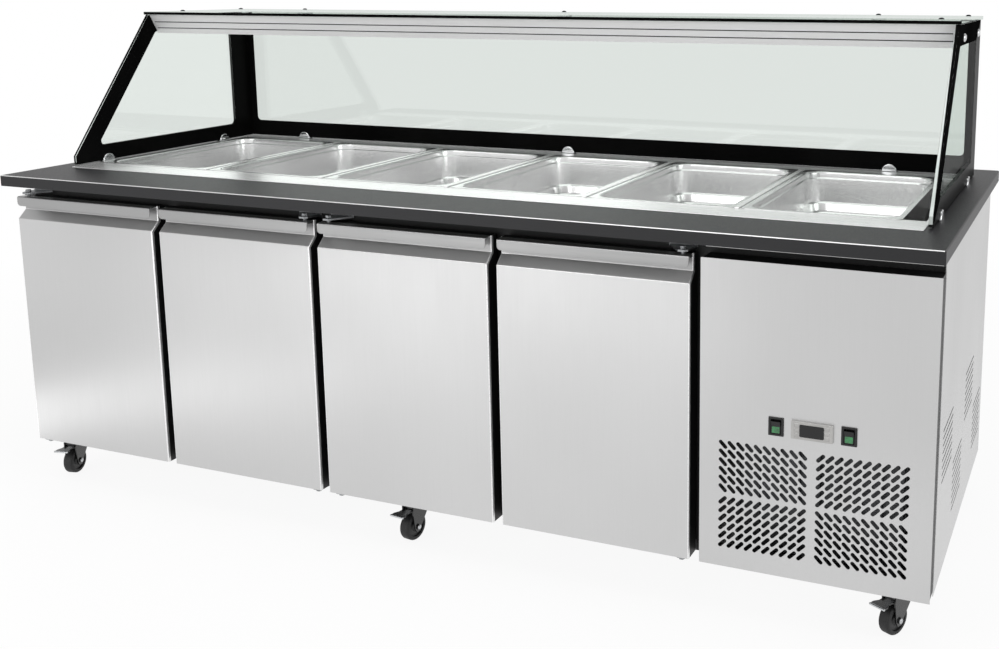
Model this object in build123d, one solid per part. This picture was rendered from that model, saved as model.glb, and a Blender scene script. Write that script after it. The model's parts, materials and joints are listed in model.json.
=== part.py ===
from build123d import *
import os
from math import atan2, cos, pi, radians, sin, tan

# Refrigerated serving counter, in millimetres.
# +X runs to the right along the length, the doors face -Y, +Z is up.
# The origin is on the floor under the middle of the worktop.

# Cabinet
CABINET_HEIGHT = 647.0       # underside of the cabinet to underside of the worktop
CABINET_DEPTH = 733.0        # front frame to back panel
MACHINE_WIDTH = 445.0        # machine compartment at the right end
WALL = 40.0                  # insulated end, back and bulkhead walls
BASE_THICKNESS = 50.0        # insulated floor of the cold room
TRAY_THICKNESS = 6.0         # floor of the machine compartment
FRAME_THICKNESS = 30.0       # front frame, header and mullions
CEILING_THICKNESS = 25.0     # insulated lid over the machine compartment
CEILING_DROP = 82.0          # top of that lid below the underside of the worktop
BULKHEAD_LAP = 4.5           # bulkhead past the left edge of the machine panel
SHEET = 1.5                  # folded stainless sheet

# Worktop
WORKTOP_THICKNESS = 26.0
WORKTOP_END_OVERHANG = 7.5
WORKTOP_FRONT_OVERHANG = 32.0
WORKTOP_BACK_OVERHANG = 112.0
WORKTOP_CHAMFER = 2.0

# Doors
DOOR_COUNT = 4
DOOR_WIDTH = 413.0
DOOR_GAP = 22.0
DOOR_THICKNESS = 42.0
DOOR_BOTTOM_GAP = 6.0        # door above the underside of the cabinet
DOOR_TOP_GAP = 30.0          # door below the worktop
OPENING_INSET = 39.0         # cold room opening inside the door's outline
GASKET_THICKNESS = 10.7
GASKET_CLEARANCE = 0.3
GASKET_INSET = 21.0
GASKET_WIDTH = 14.0
INNER_PANEL_RISE = 6.0
INNER_PANEL_GAP = 4.0

# Folded pull along the top of each door
PULL_HEIGHT = 54.0           # start of the slant to the top of the door
PULL_SLANT = 20.0            # height of the slanted face
PULL_DEPTH = 22.0
LIP_HEIGHT = 18.0
LIP_CORNER = 8.0
PULL_PLATE = (45.0, 4.0)     # welded plate for the upper hinge pin, length and thickness

# Hinges
HINGE_INSET = 20.0           # pin inside the door's edge
HINGE_SETBACK = 18.0         # pin behind the door's face
PIN_RADIUS = 4.0
PIN_CLEARANCE = 0.1          # round every pin in its hole
PIN_SIDES = 6                # sides of the pins and holes that nothing shows
ROUND_SIDES = 12             # sides of the larger round bodies inside and underneath
PIN_DEPTH = 10.0             # pin inside the door
HINGE_PLATE = 4.0
HINGE_FLANGE = 2.5
HINGE_FLANGE_HEIGHT = 22.0
HINGE_ARM_WIDTH = 24.0
HINGE_BASE = (18.0, 40.0)    # foot of the arm outside and inside the pin
HINGE_TOP_GAP = 5.0          # upper arm above the door
HINGE_REST_GAP = 0.3         # lower arm below the door
STUD_RADIUS = 6.5
STUD_HEIGHT = 6.0

# Machine front panel: grille and controls
GRILLE_COLUMNS = 10
GRILLE_ROWS = 6
GRILLE_PITCH_X = 17.3
GRILLE_PITCH_Z = 17.6
SLOT_LENGTH = 20.6
SLOT_WIDTH = 5.5
SLOT_ANGLE = 45.0
GRILLE_SPLIT_X = 19.0        # bare strips between the four fields
GRILLE_SPLIT_Z = 10.0
GRILLE_HEIGHT = 148.5        # middle of the grille above the door bottoms
GRILLE_SHIFT = -2.5          # middle of the grille from the middle of the panel
CONTROL_HEIGHT = 299.5       # middle of the controls above the door bottoms
SWITCH_OFFSET = 69.0         # switches left and right of the controller
SURROUND_WIDTH = 20.0

CONTROLLER_FACE = (79.0, 34.5)
CONTROLLER_BODY = (71.0, 29.0)
CONTROLLER_DEPTH = 55.0
CONTROLLER_RISE = 5.0
DISPLAY = (34.0, 17.0)
DISPLAY_RECESS = 1.2
KEY = (9.0, 6.0)
KEY_RISE = 0.6
KEY_PITCH = 9.6

SWITCH_FACE = (29.5, 36.0)
SWITCH_BODY = (24.0, 30.0)
SWITCH_DEPTH = 24.0
SWITCH_RISE = 2.5
ROCKER = (18.0, 25.0)
ROCKER_CLEARANCE = 1.6
ROCKER_RISE = 2.2
ROCKER_TILT = 8.0
ROCKER_DEPTH = 9.0
ROCKER_PIN_RADIUS = 1.5
ROCKER_FOOT = (13.8, 3.0)     # length, and depth behind the pin

# Louvres in the machine compartment's side and back
SIDE_FIELDS = 4
SIDE_SLITS = 8
SIDE_SLIT = 4.0              # height of a slit
SIDE_SLIT_PITCH = 14.5
SIDE_FIELD_GAP = 31.0
SIDE_FIELD_DROP = 130.0
SIDE_FIELD_START = 53.0      # first field behind the panel's front edge
SIDE_FIELD_END = 38.0        # last field in front of the panel's back edge
SIDE_FIELD_TOP = 304.0       # top slit of the upper fields above the cabinet's underside
REAR_SLITS = 10
REAR_SLIT = (300.0, 5.0)
REAR_SLIT_PITCH = 20.0

# Food pans and their frame
PAN_WIDTH = 325.0
PAN_LENGTH = 530.0
PAN_DEPTH = 100.0
PAN_SHEET = 1.0
PAN_RIM = 12.5               # flat flange around the mouth
PAN_CORNER = 30.0
PAN_CORNER_FLATS = 2         # flats that make up each round corner
PAN_DRAFT = 5.0              # each wall leans in over the upper part
PAN_STEP_DEPTH = 72.0
PAN_STEP = 10.0              # each wall leans in over the rest
DIVIDER_GAP = 13.0           # between the flanges of neighbouring pans
DIVIDER_PLAY = 1.0
DIVIDER_RISE = 2.5
DIVIDER_DROP = 14.0
DIVIDER_TONGUE = 9.0
WELL_INSET = 69.0            # ends of the well inside the worktop's ends
WELL_START = 2.0             # free length at the left end of the well
WELL_FROM_BACK = 27.0        # well in front of the cold room's back wall
PAN_LEDGE = 7.5              # pan flange on the frame, front and back
FRAME_FRONT_FLANGE = 86.0
FRAME_BACK_FLANGE = 49.0
FRAME_END_FLANGE = 7.5
FRAME_SKIRT = 73.0
CUTOUT_PLAY = 6.0            # worktop's cut-out round the frame, front and back
CUTOUT_END_PLAY = 2.0

# Canopy
GLASS = 8.0
GLASS_FOOT = 3.0             # glass above the worktop, in its clamps
CANOPY_HEIGHT = 374.0        # worktop to the top of the top glass
CANOPY_FRONT = 21.0          # foot of the side glass behind the pan frame's front edge
CANOPY_NOSE = 21.0           # short upright edge at the foot of the side glass
CANOPY_TOP_FRONT = 267.0     # front of the top glass behind the foot of the side glass
CANOPY_BACK = 20.0           # outer face of the back glass behind the pan frame
TOP_GLASS_OVERHANG = 5.0     # top glass past the side glasses
TOP_GLASS_NOSE = 3.0         # top glass in front of the side glass
CLAMP_RADIUS = 16.0
CLAMP_SHOULDER = 4.0
CLAMP_FACETS = 4
CLAMP_CHEEK = 5.0
CLAMP_CLEARANCE = 0.5
CLAMP_FROM_FRONT = (98.0, 518.0)     # side clamps behind the foot of the glass
BACK_CLAMP_SPREAD = 855.0
CAP_RADIUS = 9.0
CAP_RISE = 5.0
BOLT_RADIUS = 4.0
CAP_DROP = 37.0              # cap bolts below the top of the canopy
CAP_FROM_BACK = 45.0
BRACKET = (30.0, 30.0, 3.0)
BACK_BRACKET_SPREAD = 820.0
TOP_SCREW = (6.5, 4.0)       # radius and rise of the cap screws on the top glass
TOP_SCREW_SIDES = 6
RAIL_SCREW_INSET = 40.0      # front cap screws inside the side glasses

# Light rail under the front of the top glass
RAIL_BANDS = (20.0, 15.0, 14.0)
RAIL_GROOVE = 3.0
RAIL_GROOVE_DEPTH = 2.0
RAIL_LEAN = 28.0             # degrees that the face leans back towards its foot
RAIL_WALL = 4.0
RAIL_FLANGE = (96.0, 3.0)    # depth and thickness under the top glass
RAIL_END = 6.0
RAIL_SETBACK = 4.0
TUBE_WIDTH = 18.0
TUBE_SETBACK = 55.0
TUBE_END_GAP = 40.0

# Castors
CASTOR_HEIGHT = 100.0
CASTOR_PLATE = (58.0, 4.0)
CASTOR_LEFT_INSET = 38.0
CASTOR_RIGHT_INSET = 64.0
CASTOR_MIDDLE_SHIFT = -45.0
CASTOR_FRONT_INSET = 32.0    # stem behind the front frame's face
CASTOR_BACK_INSET = 60.0
CASTOR_TRAIL = 25.0
CASTOR_TURN = (-77.0, -98.0, -117.0, 70.0, 100.0, 85.0)
WHEEL_RADIUS = 31.5
WHEEL_WIDTH = 24.0
WHEEL_SIDES = 24
WHEEL_PLAY = 1.5
AXLE_RADIUS = 4.0
AXLE_NUT = 7.0
FORK_PLATE = 3.0
FORK_CROWN = 4.0
FORK_FOOT = 11.0
SWIVEL_CUP_RADIUS = 20.0
SWIVEL_CUP_HEIGHT = 14.0
SWIVEL_GAP = 0.3
KINGPIN_RADIUS = 6.0
PEDAL_REACH = 42.0
PEDAL_FLARE = (19.0, 29.5)   # start and end of the flare, from the pin
PEDAL_WIDTH = 34.0
PEDAL_PLATE = 3.0
PEDAL_BARREL = 5.0
PEDAL_PIN = 2.5
PEDAL_PIVOT = (10.0, 7.5)    # pin past the wheel's axle and above the tyre

# Cooling machine
CONDENSER = (330.0, 50.0, 260.0)
CONDENSER_SETBACK = 14.0     # behind the front frame's plane
CONDENSER_FOOT = (36.0, 12.0)        # width and height
CONDENSER_FIN_PITCH = 40.0
FIN = 2.0
FIN_RISE = 8.0
SHROUD = 8.0
FAN_RADIUS = 100.0
FAN_HUB = (26.0, 22.0)       # radius and length
FAN_BLADES = 5
FAN_BLADE = (40.0, 2.0)      # chord and thickness
FAN_PITCH = 28.0
FAN_TIP_GAP = 6.0
FAN_GAP = 6.0
MOTOR = (32.0, 40.0)         # radius and length
SHAFT_RADIUS = 4.0
MOTOR_ARM = (14.0, 5.0)
COMPRESSOR_RADIUS = 78.0
COMPRESSOR_HEIGHT = 175.0
COMPRESSOR_DOME = 26.0
COMPRESSOR_PLATE = (230.0, 190.0, 4.0)
COMPRESSOR_FOOT = (11.0, 14.0)       # half width and height
COMPRESSOR_FROM_BACK = 190.0
EVAPORATOR = (560.0, 50.0, 140.0)
EVAPORATOR_FIN_PITCH = 60.0
EVAPORATOR_DROP = 92.0       # top of the evaporator below the worktop
EVAPORATOR_FAN_RADIUS = 58.0

# Shelves
SHELF_DEPTH = 500.0
SHELF_HEIGHT = 250.0         # shelf above the cold room floor
SHELF_WIRE = 6.0
SHELF_CROSS_WIRE = 4.0
SHELF_CROSS_WIRES = 4
SHELF_PLAY = 4.0
RAIL_ANGLE = (16.0, 2.0)     # leg and thickness of the shelf rails
UPRIGHT = (14.0, 10.0)        # width and depth, under the rails

# Levels above the floor
cabinet_bottom = CASTOR_HEIGHT
cabinet_top = cabinet_bottom + CABINET_HEIGHT
worktop_top = cabinet_top + WORKTOP_THICKNESS
base_top = cabinet_bottom + BASE_THICKNESS
tray_top = cabinet_bottom + TRAY_THICKNESS
ceiling_top = cabinet_top - CEILING_DROP
ceiling_bottom = ceiling_top - CEILING_THICKNESS
door_bottom = cabinet_bottom + DOOR_BOTTOM_GAP
door_top = cabinet_top - DOOR_TOP_GAP
opening_top = door_top - OPENING_INSET
canopy_top = worktop_top + CANOPY_HEIGHT
glass_foot = worktop_top + GLASS_FOOT
glass_head = canopy_top - GLASS
pan_rest = worktop_top + SHEET

# Lengths, from the left end
door_pitch = DOOR_WIDTH + DOOR_GAP
body_length = DOOR_COUNT * door_pitch + MACHINE_WIDTH
body_left = -body_length / 2
body_right = body_length / 2
machine_left = body_right - MACHINE_WIDTH
machine_middle = body_right - MACHINE_WIDTH / 2 + GRILLE_SHIFT
panel_inside = body_right - SHEET
bulkhead_right = machine_left + BULKHEAD_LAP
bulkhead_left = bulkhead_right - WALL
worktop_half = body_length / 2 + WORKTOP_END_OVERHANG
pan_pitch = PAN_WIDTH + DIVIDER_GAP
well_half = worktop_half - WELL_INSET
pan_count = int((2 * well_half - WELL_START + DIVIDER_GAP) // pan_pitch)
first_pan = -well_half + WELL_START + PAN_WIDTH / 2
flange_half = well_half + FRAME_END_FLANGE
glass_inside = flange_half + CLAMP_CLEARANCE + CLAMP_CHEEK
glass_outside = glass_inside + GLASS

# Depths, from the front
worktop_depth = (WORKTOP_FRONT_OVERHANG + DOOR_THICKNESS + GASKET_THICKNESS + GASKET_CLEARANCE
                 + CABINET_DEPTH + WORKTOP_BACK_OVERHANG)
worktop_front = -worktop_depth / 2
worktop_back = worktop_depth / 2
door_face = worktop_front + WORKTOP_FRONT_OVERHANG
door_back = door_face + DOOR_THICKNESS
frame_front = door_back + GASKET_THICKNESS + GASKET_CLEARANCE
frame_back = frame_front + FRAME_THICKNESS
body_back = frame_front + CABINET_DEPTH
room_back = body_back - WALL
hinge_y = door_face + HINGE_SETBACK
well_back = room_back - WELL_FROM_BACK
well_front = well_back - PAN_LENGTH + 2 * PAN_LEDGE
well_middle = (well_front + well_back) / 2
rim_front = well_front - FRAME_FRONT_FLANGE
rim_back = well_back + FRAME_BACK_FLANGE
side_glass_front = rim_front + CANOPY_FRONT
top_glass_front = side_glass_front + CANOPY_TOP_FRONT
glass_back = rim_back + CANOPY_BACK


def block(low, high):
    """Box between two opposite corners."""
    size = [b - a for a, b in zip(low, high)]
    middle = [(a + b) / 2 for a, b in zip(low, high)]
    return Pos(*middle) * Box(*size)


def prism(points, along, length):
    """Polygon carried straight along a direction."""
    return extrude(make_face(Polyline(*points, close=True)), amount=length, dir=along)


def pierced(outline, holes, along, thickness):
    """Sheet with polygonal holes."""
    face = Face(Wire.make_polygon(outline), [Wire.make_polygon(hole) for hole in holes])
    return extrude(face, amount=thickness, dir=along)


def front_rectangle(x0, x1, z0, z1, y):
    """Corners of an upright rectangle that faces the front."""
    return [(x0, y, z0), (x1, y, z0), (x1, y, z1), (x0, y, z1)]


def level_rectangle(x0, x1, y0, y1, z):
    """Corners of a level rectangle."""
    return [(x0, y0, z), (x1, y0, z), (x1, y1, z), (x0, y1, z)]


def drum(start, along, radius, length, sides=ROUND_SIDES):
    """Round body made of flats, its corners on the stated radius."""
    return Plane(origin=start, z_dir=along) * extrude(RegularPolygon(radius, sides), amount=length)


def pin(start, along, radius, length):
    """Hidden pin with few sides."""
    return drum(start, along, radius, length, PIN_SIDES)


def pin_hole(start, along, radius, length):
    """Hole for such a pin, its flats one clearance outside the pin's corners."""
    face = RegularPolygon(radius + PIN_CLEARANCE, PIN_SIDES, major_radius=False)
    return Plane(origin=start, z_dir=along) * extrude(face, amount=length)


def save(name, *shapes):
    """Write one sub-part, as one solid or as a group of separate solids."""
    solids = [solid for shape in shapes for solid in shape.solids()]
    body = solids[0] if len(solids) == 1 else Compound(solids)
    export_step(body, f"parts/{name}.step")


def door_left(index):
    """Left edge of a door, counted from 0 at the left."""
    return body_left + index * door_pitch


def hinged_left(index):
    """Doors open in pairs: the first of each pair hinges at its left edge."""
    return index % 2 == 0


def hinge_x(index):
    """Middle of a door's hinge pins."""
    if hinged_left(index):
        return door_left(index) + HINGE_INSET
    return door_left(index) + DOOR_WIDTH - HINGE_INSET


# Cabinet shell
def cabinet_base():
    """Insulated floor of the cold room and the thin tray of the machine compartment."""
    floor = block((body_left, frame_back, cabinet_bottom), (bulkhead_right, body_back, base_top))
    tray = block((bulkhead_right, frame_front, cabinet_bottom), (panel_inside, body_back, tray_top))
    return floor + tray


def left_end_panel():
    """Insulated end wall between the front frame and the back panel."""
    return block((body_left, frame_back, base_top), (body_left + WALL, room_back, cabinet_top))


def cabinet_back():
    """Insulated back, cut away behind the machine compartment."""
    outline = [(body_left, base_top), (bulkhead_right, base_top), (bulkhead_right, ceiling_bottom),
               (panel_inside, ceiling_bottom), (panel_inside, cabinet_top), (body_left, cabinet_top)]
    return prism([(x, room_back, z) for x, z in outline], (0, 1, 0), WALL)


def machine_bulkhead():
    """Insulated wall beside the machine, its lid, and the end of the pan well above it."""
    outline = [(bulkhead_left, base_top), (bulkhead_right, base_top), (bulkhead_right, ceiling_bottom),
               (panel_inside, ceiling_bottom), (panel_inside, cabinet_top),
               (panel_inside - CEILING_THICKNESS, cabinet_top),
               (panel_inside - CEILING_THICKNESS, ceiling_top), (bulkhead_left, ceiling_top)]
    return prism([(x, frame_back, z) for x, z in outline], (0, 1, 0), room_back - frame_back)


def front_frame():
    """Front frame with four door openings, its header running on over the machine compartment."""
    outline = [(body_left, cabinet_bottom), (bulkhead_right, cabinet_bottom),
               (bulkhead_right, ceiling_bottom), (panel_inside, ceiling_bottom),
               (panel_inside, cabinet_top), (body_left, cabinet_top)]
    openings = []
    for index in range(DOOR_COUNT):
        left = door_left(index) + OPENING_INSET
        right = door_left(index) + DOOR_WIDTH - OPENING_INSET
        openings.append(front_rectangle(left, right, base_top, opening_top, frame_front))
    return pierced([(x, frame_front, z) for x, z in outline], openings, (0, 1, 0), FRAME_THICKNESS)


# Machine compartment panels
def slot_outline(x, z, lean, y):
    """Outline of one leaning slot, with square ends in place of the round ones."""
    reach = SLOT_LENGTH / 2
    half = SLOT_WIDTH / 2
    shape = [(-reach, -half), (reach, -half), (reach, half), (-reach, half)]
    turn = radians(lean)
    return [(x + a * cos(turn) - b * sin(turn), y, z + a * sin(turn) + b * cos(turn)) for a, b in shape]


def grille_slots(y):
    """Four fields of slots whose lean turns from field to field, like a woven mat."""
    slots = []
    step_x = (GRILLE_COLUMNS - 1) * GRILLE_PITCH_X
    step_z = (GRILLE_ROWS - 1) * GRILLE_PITCH_Z
    reach = SLOT_LENGTH * cos(radians(SLOT_ANGLE))
    middle_z = door_bottom + GRILLE_HEIGHT
    for side in (-1, 1):
        for level in (-1, 1):
            centre_x = machine_middle + side * (step_x + reach + GRILLE_SPLIT_X) / 2
            centre_z = middle_z + level * (step_z + reach + GRILLE_SPLIT_Z) / 2
            lean = SLOT_ANGLE * side * level
            for column in range(GRILLE_COLUMNS):
                for row in range(GRILLE_ROWS):
                    x = centre_x - step_x / 2 + column * GRILLE_PITCH_X
                    z = centre_z - step_z / 2 + row * GRILLE_PITCH_Z
                    slots.append(slot_outline(x, z, lean, y))
    return slots


def control_places():
    """Middles of the left switch, the controller and the right switch."""
    z = door_bottom + CONTROL_HEIGHT
    return [(machine_middle + offset, z) for offset in (-SWITCH_OFFSET, 0.0, SWITCH_OFFSET)]


def centred_hole(place, size, y):
    """Rectangle of a given size around a place on the panel."""
    x, z = place
    return front_rectangle(x - size[0] / 2, x + size[0] / 2, z - size[1] / 2, z + size[1] / 2, y)


def machine_front_panel():
    """Stainless front with the punched grille and the control cut-outs."""
    left_switch, controller, right_switch = control_places()
    holes = grille_slots(door_face)
    holes.append(centred_hole(left_switch, SWITCH_BODY, door_face))
    holes.append(centred_hole(controller, CONTROLLER_BODY, door_face))
    holes.append(centred_hole(right_switch, SWITCH_BODY, door_face))
    outline = front_rectangle(machine_left, body_right, door_bottom, door_top, door_face)
    return pierced(outline, holes, (0, 1, 0), SHEET)


def machine_panel_surround():
    """Black moulded frame that carries the front panel on the cabinet."""
    outer = front_rectangle(machine_left + SHEET, panel_inside, door_bottom + SHEET, door_top - SHEET,
                            door_face + SHEET)
    inner = front_rectangle(machine_left + SURROUND_WIDTH, panel_inside - SURROUND_WIDTH,
                            door_bottom + SURROUND_WIDTH, door_top - SURROUND_WIDTH, door_face + SHEET)
    return pierced(outer, [inner], (0, 1, 0), frame_front - door_face - SHEET)


def machine_side_panel():
    """Right end sheet with four staggered fields of louvre slits."""
    x = panel_inside
    holes = []
    fields_depth = body_back - door_back - SIDE_FIELD_START - SIDE_FIELD_END
    slit_length = (fields_depth - (SIDE_FIELDS - 1) * SIDE_FIELD_GAP) / SIDE_FIELDS
    for field in range(SIDE_FIELDS):
        start = door_back + SIDE_FIELD_START + field * (slit_length + SIDE_FIELD_GAP)
        end = start + slit_length
        top = cabinet_bottom + SIDE_FIELD_TOP - (field % 2) * SIDE_FIELD_DROP
        for slit in range(SIDE_SLITS):
            z = top - slit * SIDE_SLIT_PITCH
            holes.append([(x, start, z - SIDE_SLIT), (x, end, z - SIDE_SLIT), (x, end, z), (x, start, z)])
    outline = [(x, door_back, cabinet_bottom), (x, body_back, cabinet_bottom), (x, body_back, cabinet_top),
               (x, door_back, cabinet_top)]
    return pierced(outline, holes, (1, 0, 0), SHEET)


def machine_rear_panel():
    """Louvred back sheet."""
    y = body_back - SHEET
    middle = (bulkhead_right + panel_inside) / 2
    height = (tray_top + ceiling_bottom) / 2
    holes = []
    for slit in range(REAR_SLITS):
        z = height + (slit - (REAR_SLITS - 1) / 2) * REAR_SLIT_PITCH
        holes.append(centred_hole((middle, z), REAR_SLIT, y))
    outline = front_rectangle(bulkhead_right, panel_inside, tray_top, ceiling_bottom, y)
    return pierced(outline, holes, (0, 1, 0), SHEET)


# Controls
def temperature_controller():
    """Controller with a raised face, a sunk display and six flat keys."""
    x, z = control_places()[1]
    front = door_face - CONTROLLER_RISE
    width, height = CONTROLLER_FACE
    face = block((x - width / 2, front, z - height / 2), (x + width / 2, door_face, z + height / 2))
    rear_width, rear_height = CONTROLLER_BODY
    rear = block((x - rear_width / 2, door_face, z - rear_height / 2),
                 (x + rear_width / 2, door_face + CONTROLLER_DEPTH, z + rear_height / 2))
    window = block((x - DISPLAY[0] / 2, front, z - DISPLAY[1] / 2),
                   (x + DISPLAY[0] / 2, front + DISPLAY_RECESS, z + DISPLAY[1] / 2))
    body = face + rear - window
    key_x = (width / 2 + DISPLAY[0] / 2) / 2
    for side in (-1, 1):
        for row in (-1, 0, 1):
            middle_x = x + side * key_x
            middle_z = z + row * KEY_PITCH
            body += block((middle_x - KEY[0] / 2, front - KEY_RISE, middle_z - KEY[1] / 2),
                          (middle_x + KEY[0] / 2, front, middle_z + KEY[1] / 2))
    return body


def switch_bezel(place):
    """Black housing with a well for the rocker."""
    x, z = place
    front = door_face - SWITCH_RISE
    face = block((x - SWITCH_FACE[0] / 2, front, z - SWITCH_FACE[1] / 2),
                 (x + SWITCH_FACE[0] / 2, door_face, z + SWITCH_FACE[1] / 2))
    rear = block((x - SWITCH_BODY[0] / 2, door_face, z - SWITCH_BODY[1] / 2),
                 (x + SWITCH_BODY[0] / 2, door_face + SWITCH_DEPTH, z + SWITCH_BODY[1] / 2))
    half_width = ROCKER[0] / 2 + ROCKER_CLEARANCE / 2
    half_height = ROCKER[1] / 2 + ROCKER_CLEARANCE
    well = block((x - half_width, front, z - half_height),
                 (x + half_width, front + ROCKER_DEPTH + 2 * ROCKER_CLEARANCE, z + half_height))
    axle = pin((x - half_width, rocker_pivot_y(), z), (1, 0, 0), ROCKER_PIN_RADIUS, 2 * half_width)
    return face + rear - well + axle


def rocker_pivot_y():
    """Depth of the rocker's pin behind the panel's face."""
    return door_face - SWITCH_RISE + ROCKER_DEPTH / 2


def rocker(place):
    """Rocker with a hollowed face, pressed in at its lower end."""
    x, z = place
    front = door_face - SWITCH_RISE - ROCKER_RISE
    pivot = rocker_pivot_y()
    half = ROCKER[1] / 2
    foot_half = ROCKER_FOOT[0] / 2
    foot = pivot + ROCKER_FOOT[1]
    profile = [(x, front, z - half), (x, front + ROCKER_RISE, z), (x, front, z + half),
               (x, foot, z + foot_half), (x, foot, z - foot_half)]
    body = Pos(-ROCKER[0] / 2, 0, 0) * prism(profile, (1, 0, 0), ROCKER[0])
    body -= pin_hole((x - ROCKER[0], pivot, z), (1, 0, 0), ROCKER_PIN_RADIUS, 2 * ROCKER[0])
    return body.rotate(Axis((x, pivot, z), (1, 0, 0)), ROCKER_TILT)


# Worktop, pan frame and pans
def worktop():
    """Dark slab with the cut-out for the pan frame and a fine chamfer round its top edge."""
    slab = block((-worktop_half, worktop_front, cabinet_top), (worktop_half, worktop_back, worktop_top))
    rim = slab.faces().sort_by(Axis.Z)[-1].edges()
    slab = chamfer(rim, WORKTOP_CHAMFER)
    play = SHEET + CUTOUT_PLAY
    half = well_half + SHEET + CUTOUT_END_PLAY
    return slab - block((-half, well_front - play, cabinet_top), (half, well_back + play, worktop_top))


def pan_frame():
    """Stainless frame: a flat rim on the worktop and a skirt down into the well."""
    rim = pierced(level_rectangle(-flange_half, flange_half, rim_front, rim_back, worktop_top),
                  [level_rectangle(-well_half, well_half, well_front, well_back, worktop_top)],
                  (0, 0, 1), SHEET)
    skirt = pierced(level_rectangle(-well_half - SHEET, well_half + SHEET, well_front - SHEET,
                                    well_back + SHEET, worktop_top),
                    [level_rectangle(-well_half, well_half, well_front, well_back, worktop_top)],
                    (0, 0, -1), FRAME_SKIRT)
    return rim + skirt


def pan_x(index):
    """Middle of a food pan, counted from 0 at the left."""
    return first_pan + index * pan_pitch


def divider(index):
    """Bar between two pans, its tongues resting on the frame in front and behind."""
    middle = pan_x(index) + pan_pitch / 2
    width = DIVIDER_GAP - 2 * DIVIDER_PLAY
    top = pan_rest + DIVIDER_RISE
    foot = pan_rest - DIVIDER_DROP
    front = well_front + DIVIDER_PLAY
    back = well_back - DIVIDER_PLAY
    front_tip = front - DIVIDER_TONGUE
    back_tip = back + DIVIDER_TONGUE
    outline = [(front, foot), (back, foot), (back, pan_rest), (back_tip, pan_rest), (back_tip, top),
               (front_tip, top), (front_tip, pan_rest), (front, pan_rest)]
    return prism([(middle - width / 2, y, z) for y, z in outline], (1, 0, 0), width)


def pan_ring(x, inset, height):
    """Corners of a level rounded rectangle inside the mouth of a pan, its round corners made of flats."""
    half_width = PAN_WIDTH / 2 - PAN_RIM - inset
    half_length = PAN_LENGTH / 2 - PAN_RIM - inset
    radius = PAN_RIM if inset < 0 else PAN_CORNER - inset
    ring = []
    for corner, (a, b) in enumerate(((1, 1), (-1, 1), (-1, -1), (1, -1))):
        for step in range(PAN_CORNER_FLATS + 1):
            turn = pi / 2 * (corner + step / PAN_CORNER_FLATS)
            ring.append((x + a * (half_width - radius) + radius * cos(turn),
                         well_middle + b * (half_length - radius) + radius * sin(turn), pan_rest + height))
    return ring


def band(lower, upper):
    """Flat faces between two rings of as many corners."""
    count = len(lower)
    quads = [(lower[k], lower[(k + 1) % count], upper[(k + 1) % count], upper[k]) for k in range(count)]
    return [Face(Wire.make_polygon(quad)) for quad in quads]


def pan(index):
    """Deep-drawn food pan: a flat flange, walls that lean in, and more so near the floor."""
    x = pan_x(index)
    flange_foot = pan_ring(x, -PAN_RIM, 0.0)
    flange_top = pan_ring(x, -PAN_RIM, PAN_SHEET)
    faces = band(flange_foot, flange_top)
    for thickness, rim, lift in ((0.0, flange_foot, 0.0), (PAN_SHEET, flange_top, PAN_SHEET)):
        mouth = pan_ring(x, thickness, lift)
        step = pan_ring(x, PAN_DRAFT + thickness, -PAN_STEP_DEPTH)
        floor = pan_ring(x, PAN_DRAFT + PAN_STEP + thickness, thickness - PAN_DEPTH)
        faces.append(Face(Wire.make_polygon(rim), [Wire.make_polygon(mouth)]))
        faces += band(step, mouth) + band(floor, step)
        faces.append(Face(Wire.make_polygon(floor)))
    return Solid(Shell(faces))


# Canopy
def side_glass(side):
    """Side glass with a raked front edge and a short upright nose, drilled for the cap bolts."""
    outline = [(side_glass_front, glass_foot), (glass_back, glass_foot), (glass_back, glass_head),
               (top_glass_front, glass_head), (side_glass_front, glass_foot + CANOPY_NOSE)]
    start = glass_inside if side > 0 else -glass_outside
    pane = prism([(start, y, z) for y, z in outline], (1, 0, 0), GLASS)
    for y in cap_places():
        pane -= pin_hole((start, y, canopy_top - CAP_DROP), (1, 0, 0), BOLT_RADIUS, GLASS)
    return pane


def back_glass():
    """Upright glass between the side glasses."""
    return block((-glass_inside, glass_back - GLASS, glass_foot), (glass_inside, glass_back, glass_head))


def top_glass():
    """Level glass on the side and back glasses."""
    half = glass_outside + TOP_GLASS_OVERHANG
    return block((-half, top_glass_front - TOP_GLASS_NOSE, glass_head), (half, glass_back, canopy_top))


def cap_places():
    """Cap bolts in a side glass: one into the light rail's end, one into the rear bracket."""
    rail_bolt = top_glass_front + RAIL_SETBACK + RAIL_FLANGE[0] - 2 * CAP_RADIUS
    return [rail_bolt, glass_back - CAP_FROM_BACK]


def clamp(along_x):
    """Half-round clamp that straddles the foot of a glass, which runs along local X."""
    radius = CLAMP_RADIUS
    depth = GLASS + 2 * CLAMP_CHEEK
    profile = [(-radius, 0.0), (radius, 0.0)]
    for step in range(CLAMP_FACETS + 1):
        turn = pi * step / CLAMP_FACETS
        profile.append((radius * cos(turn), CLAMP_SHOULDER + radius * sin(turn)))
    body = prism([(x, -depth / 2, z) for x, z in profile], (0, 1, 0), depth)
    body -= block((-radius, -GLASS / 2, GLASS_FOOT), (radius, GLASS / 2, CLAMP_SHOULDER + radius))
    return body if along_x else Rot(0, 0, 90) * body


def cap_bolt(side, y):
    """Chrome cap outside and its shank through the glass."""
    place = (side * glass_outside, y, canopy_top - CAP_DROP)
    cap = drum(place, (side, 0, 0), CAP_RADIUS, CAP_RISE)
    return cap + pin(place, (-side, 0, 0), BOLT_RADIUS, GLASS)


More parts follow.
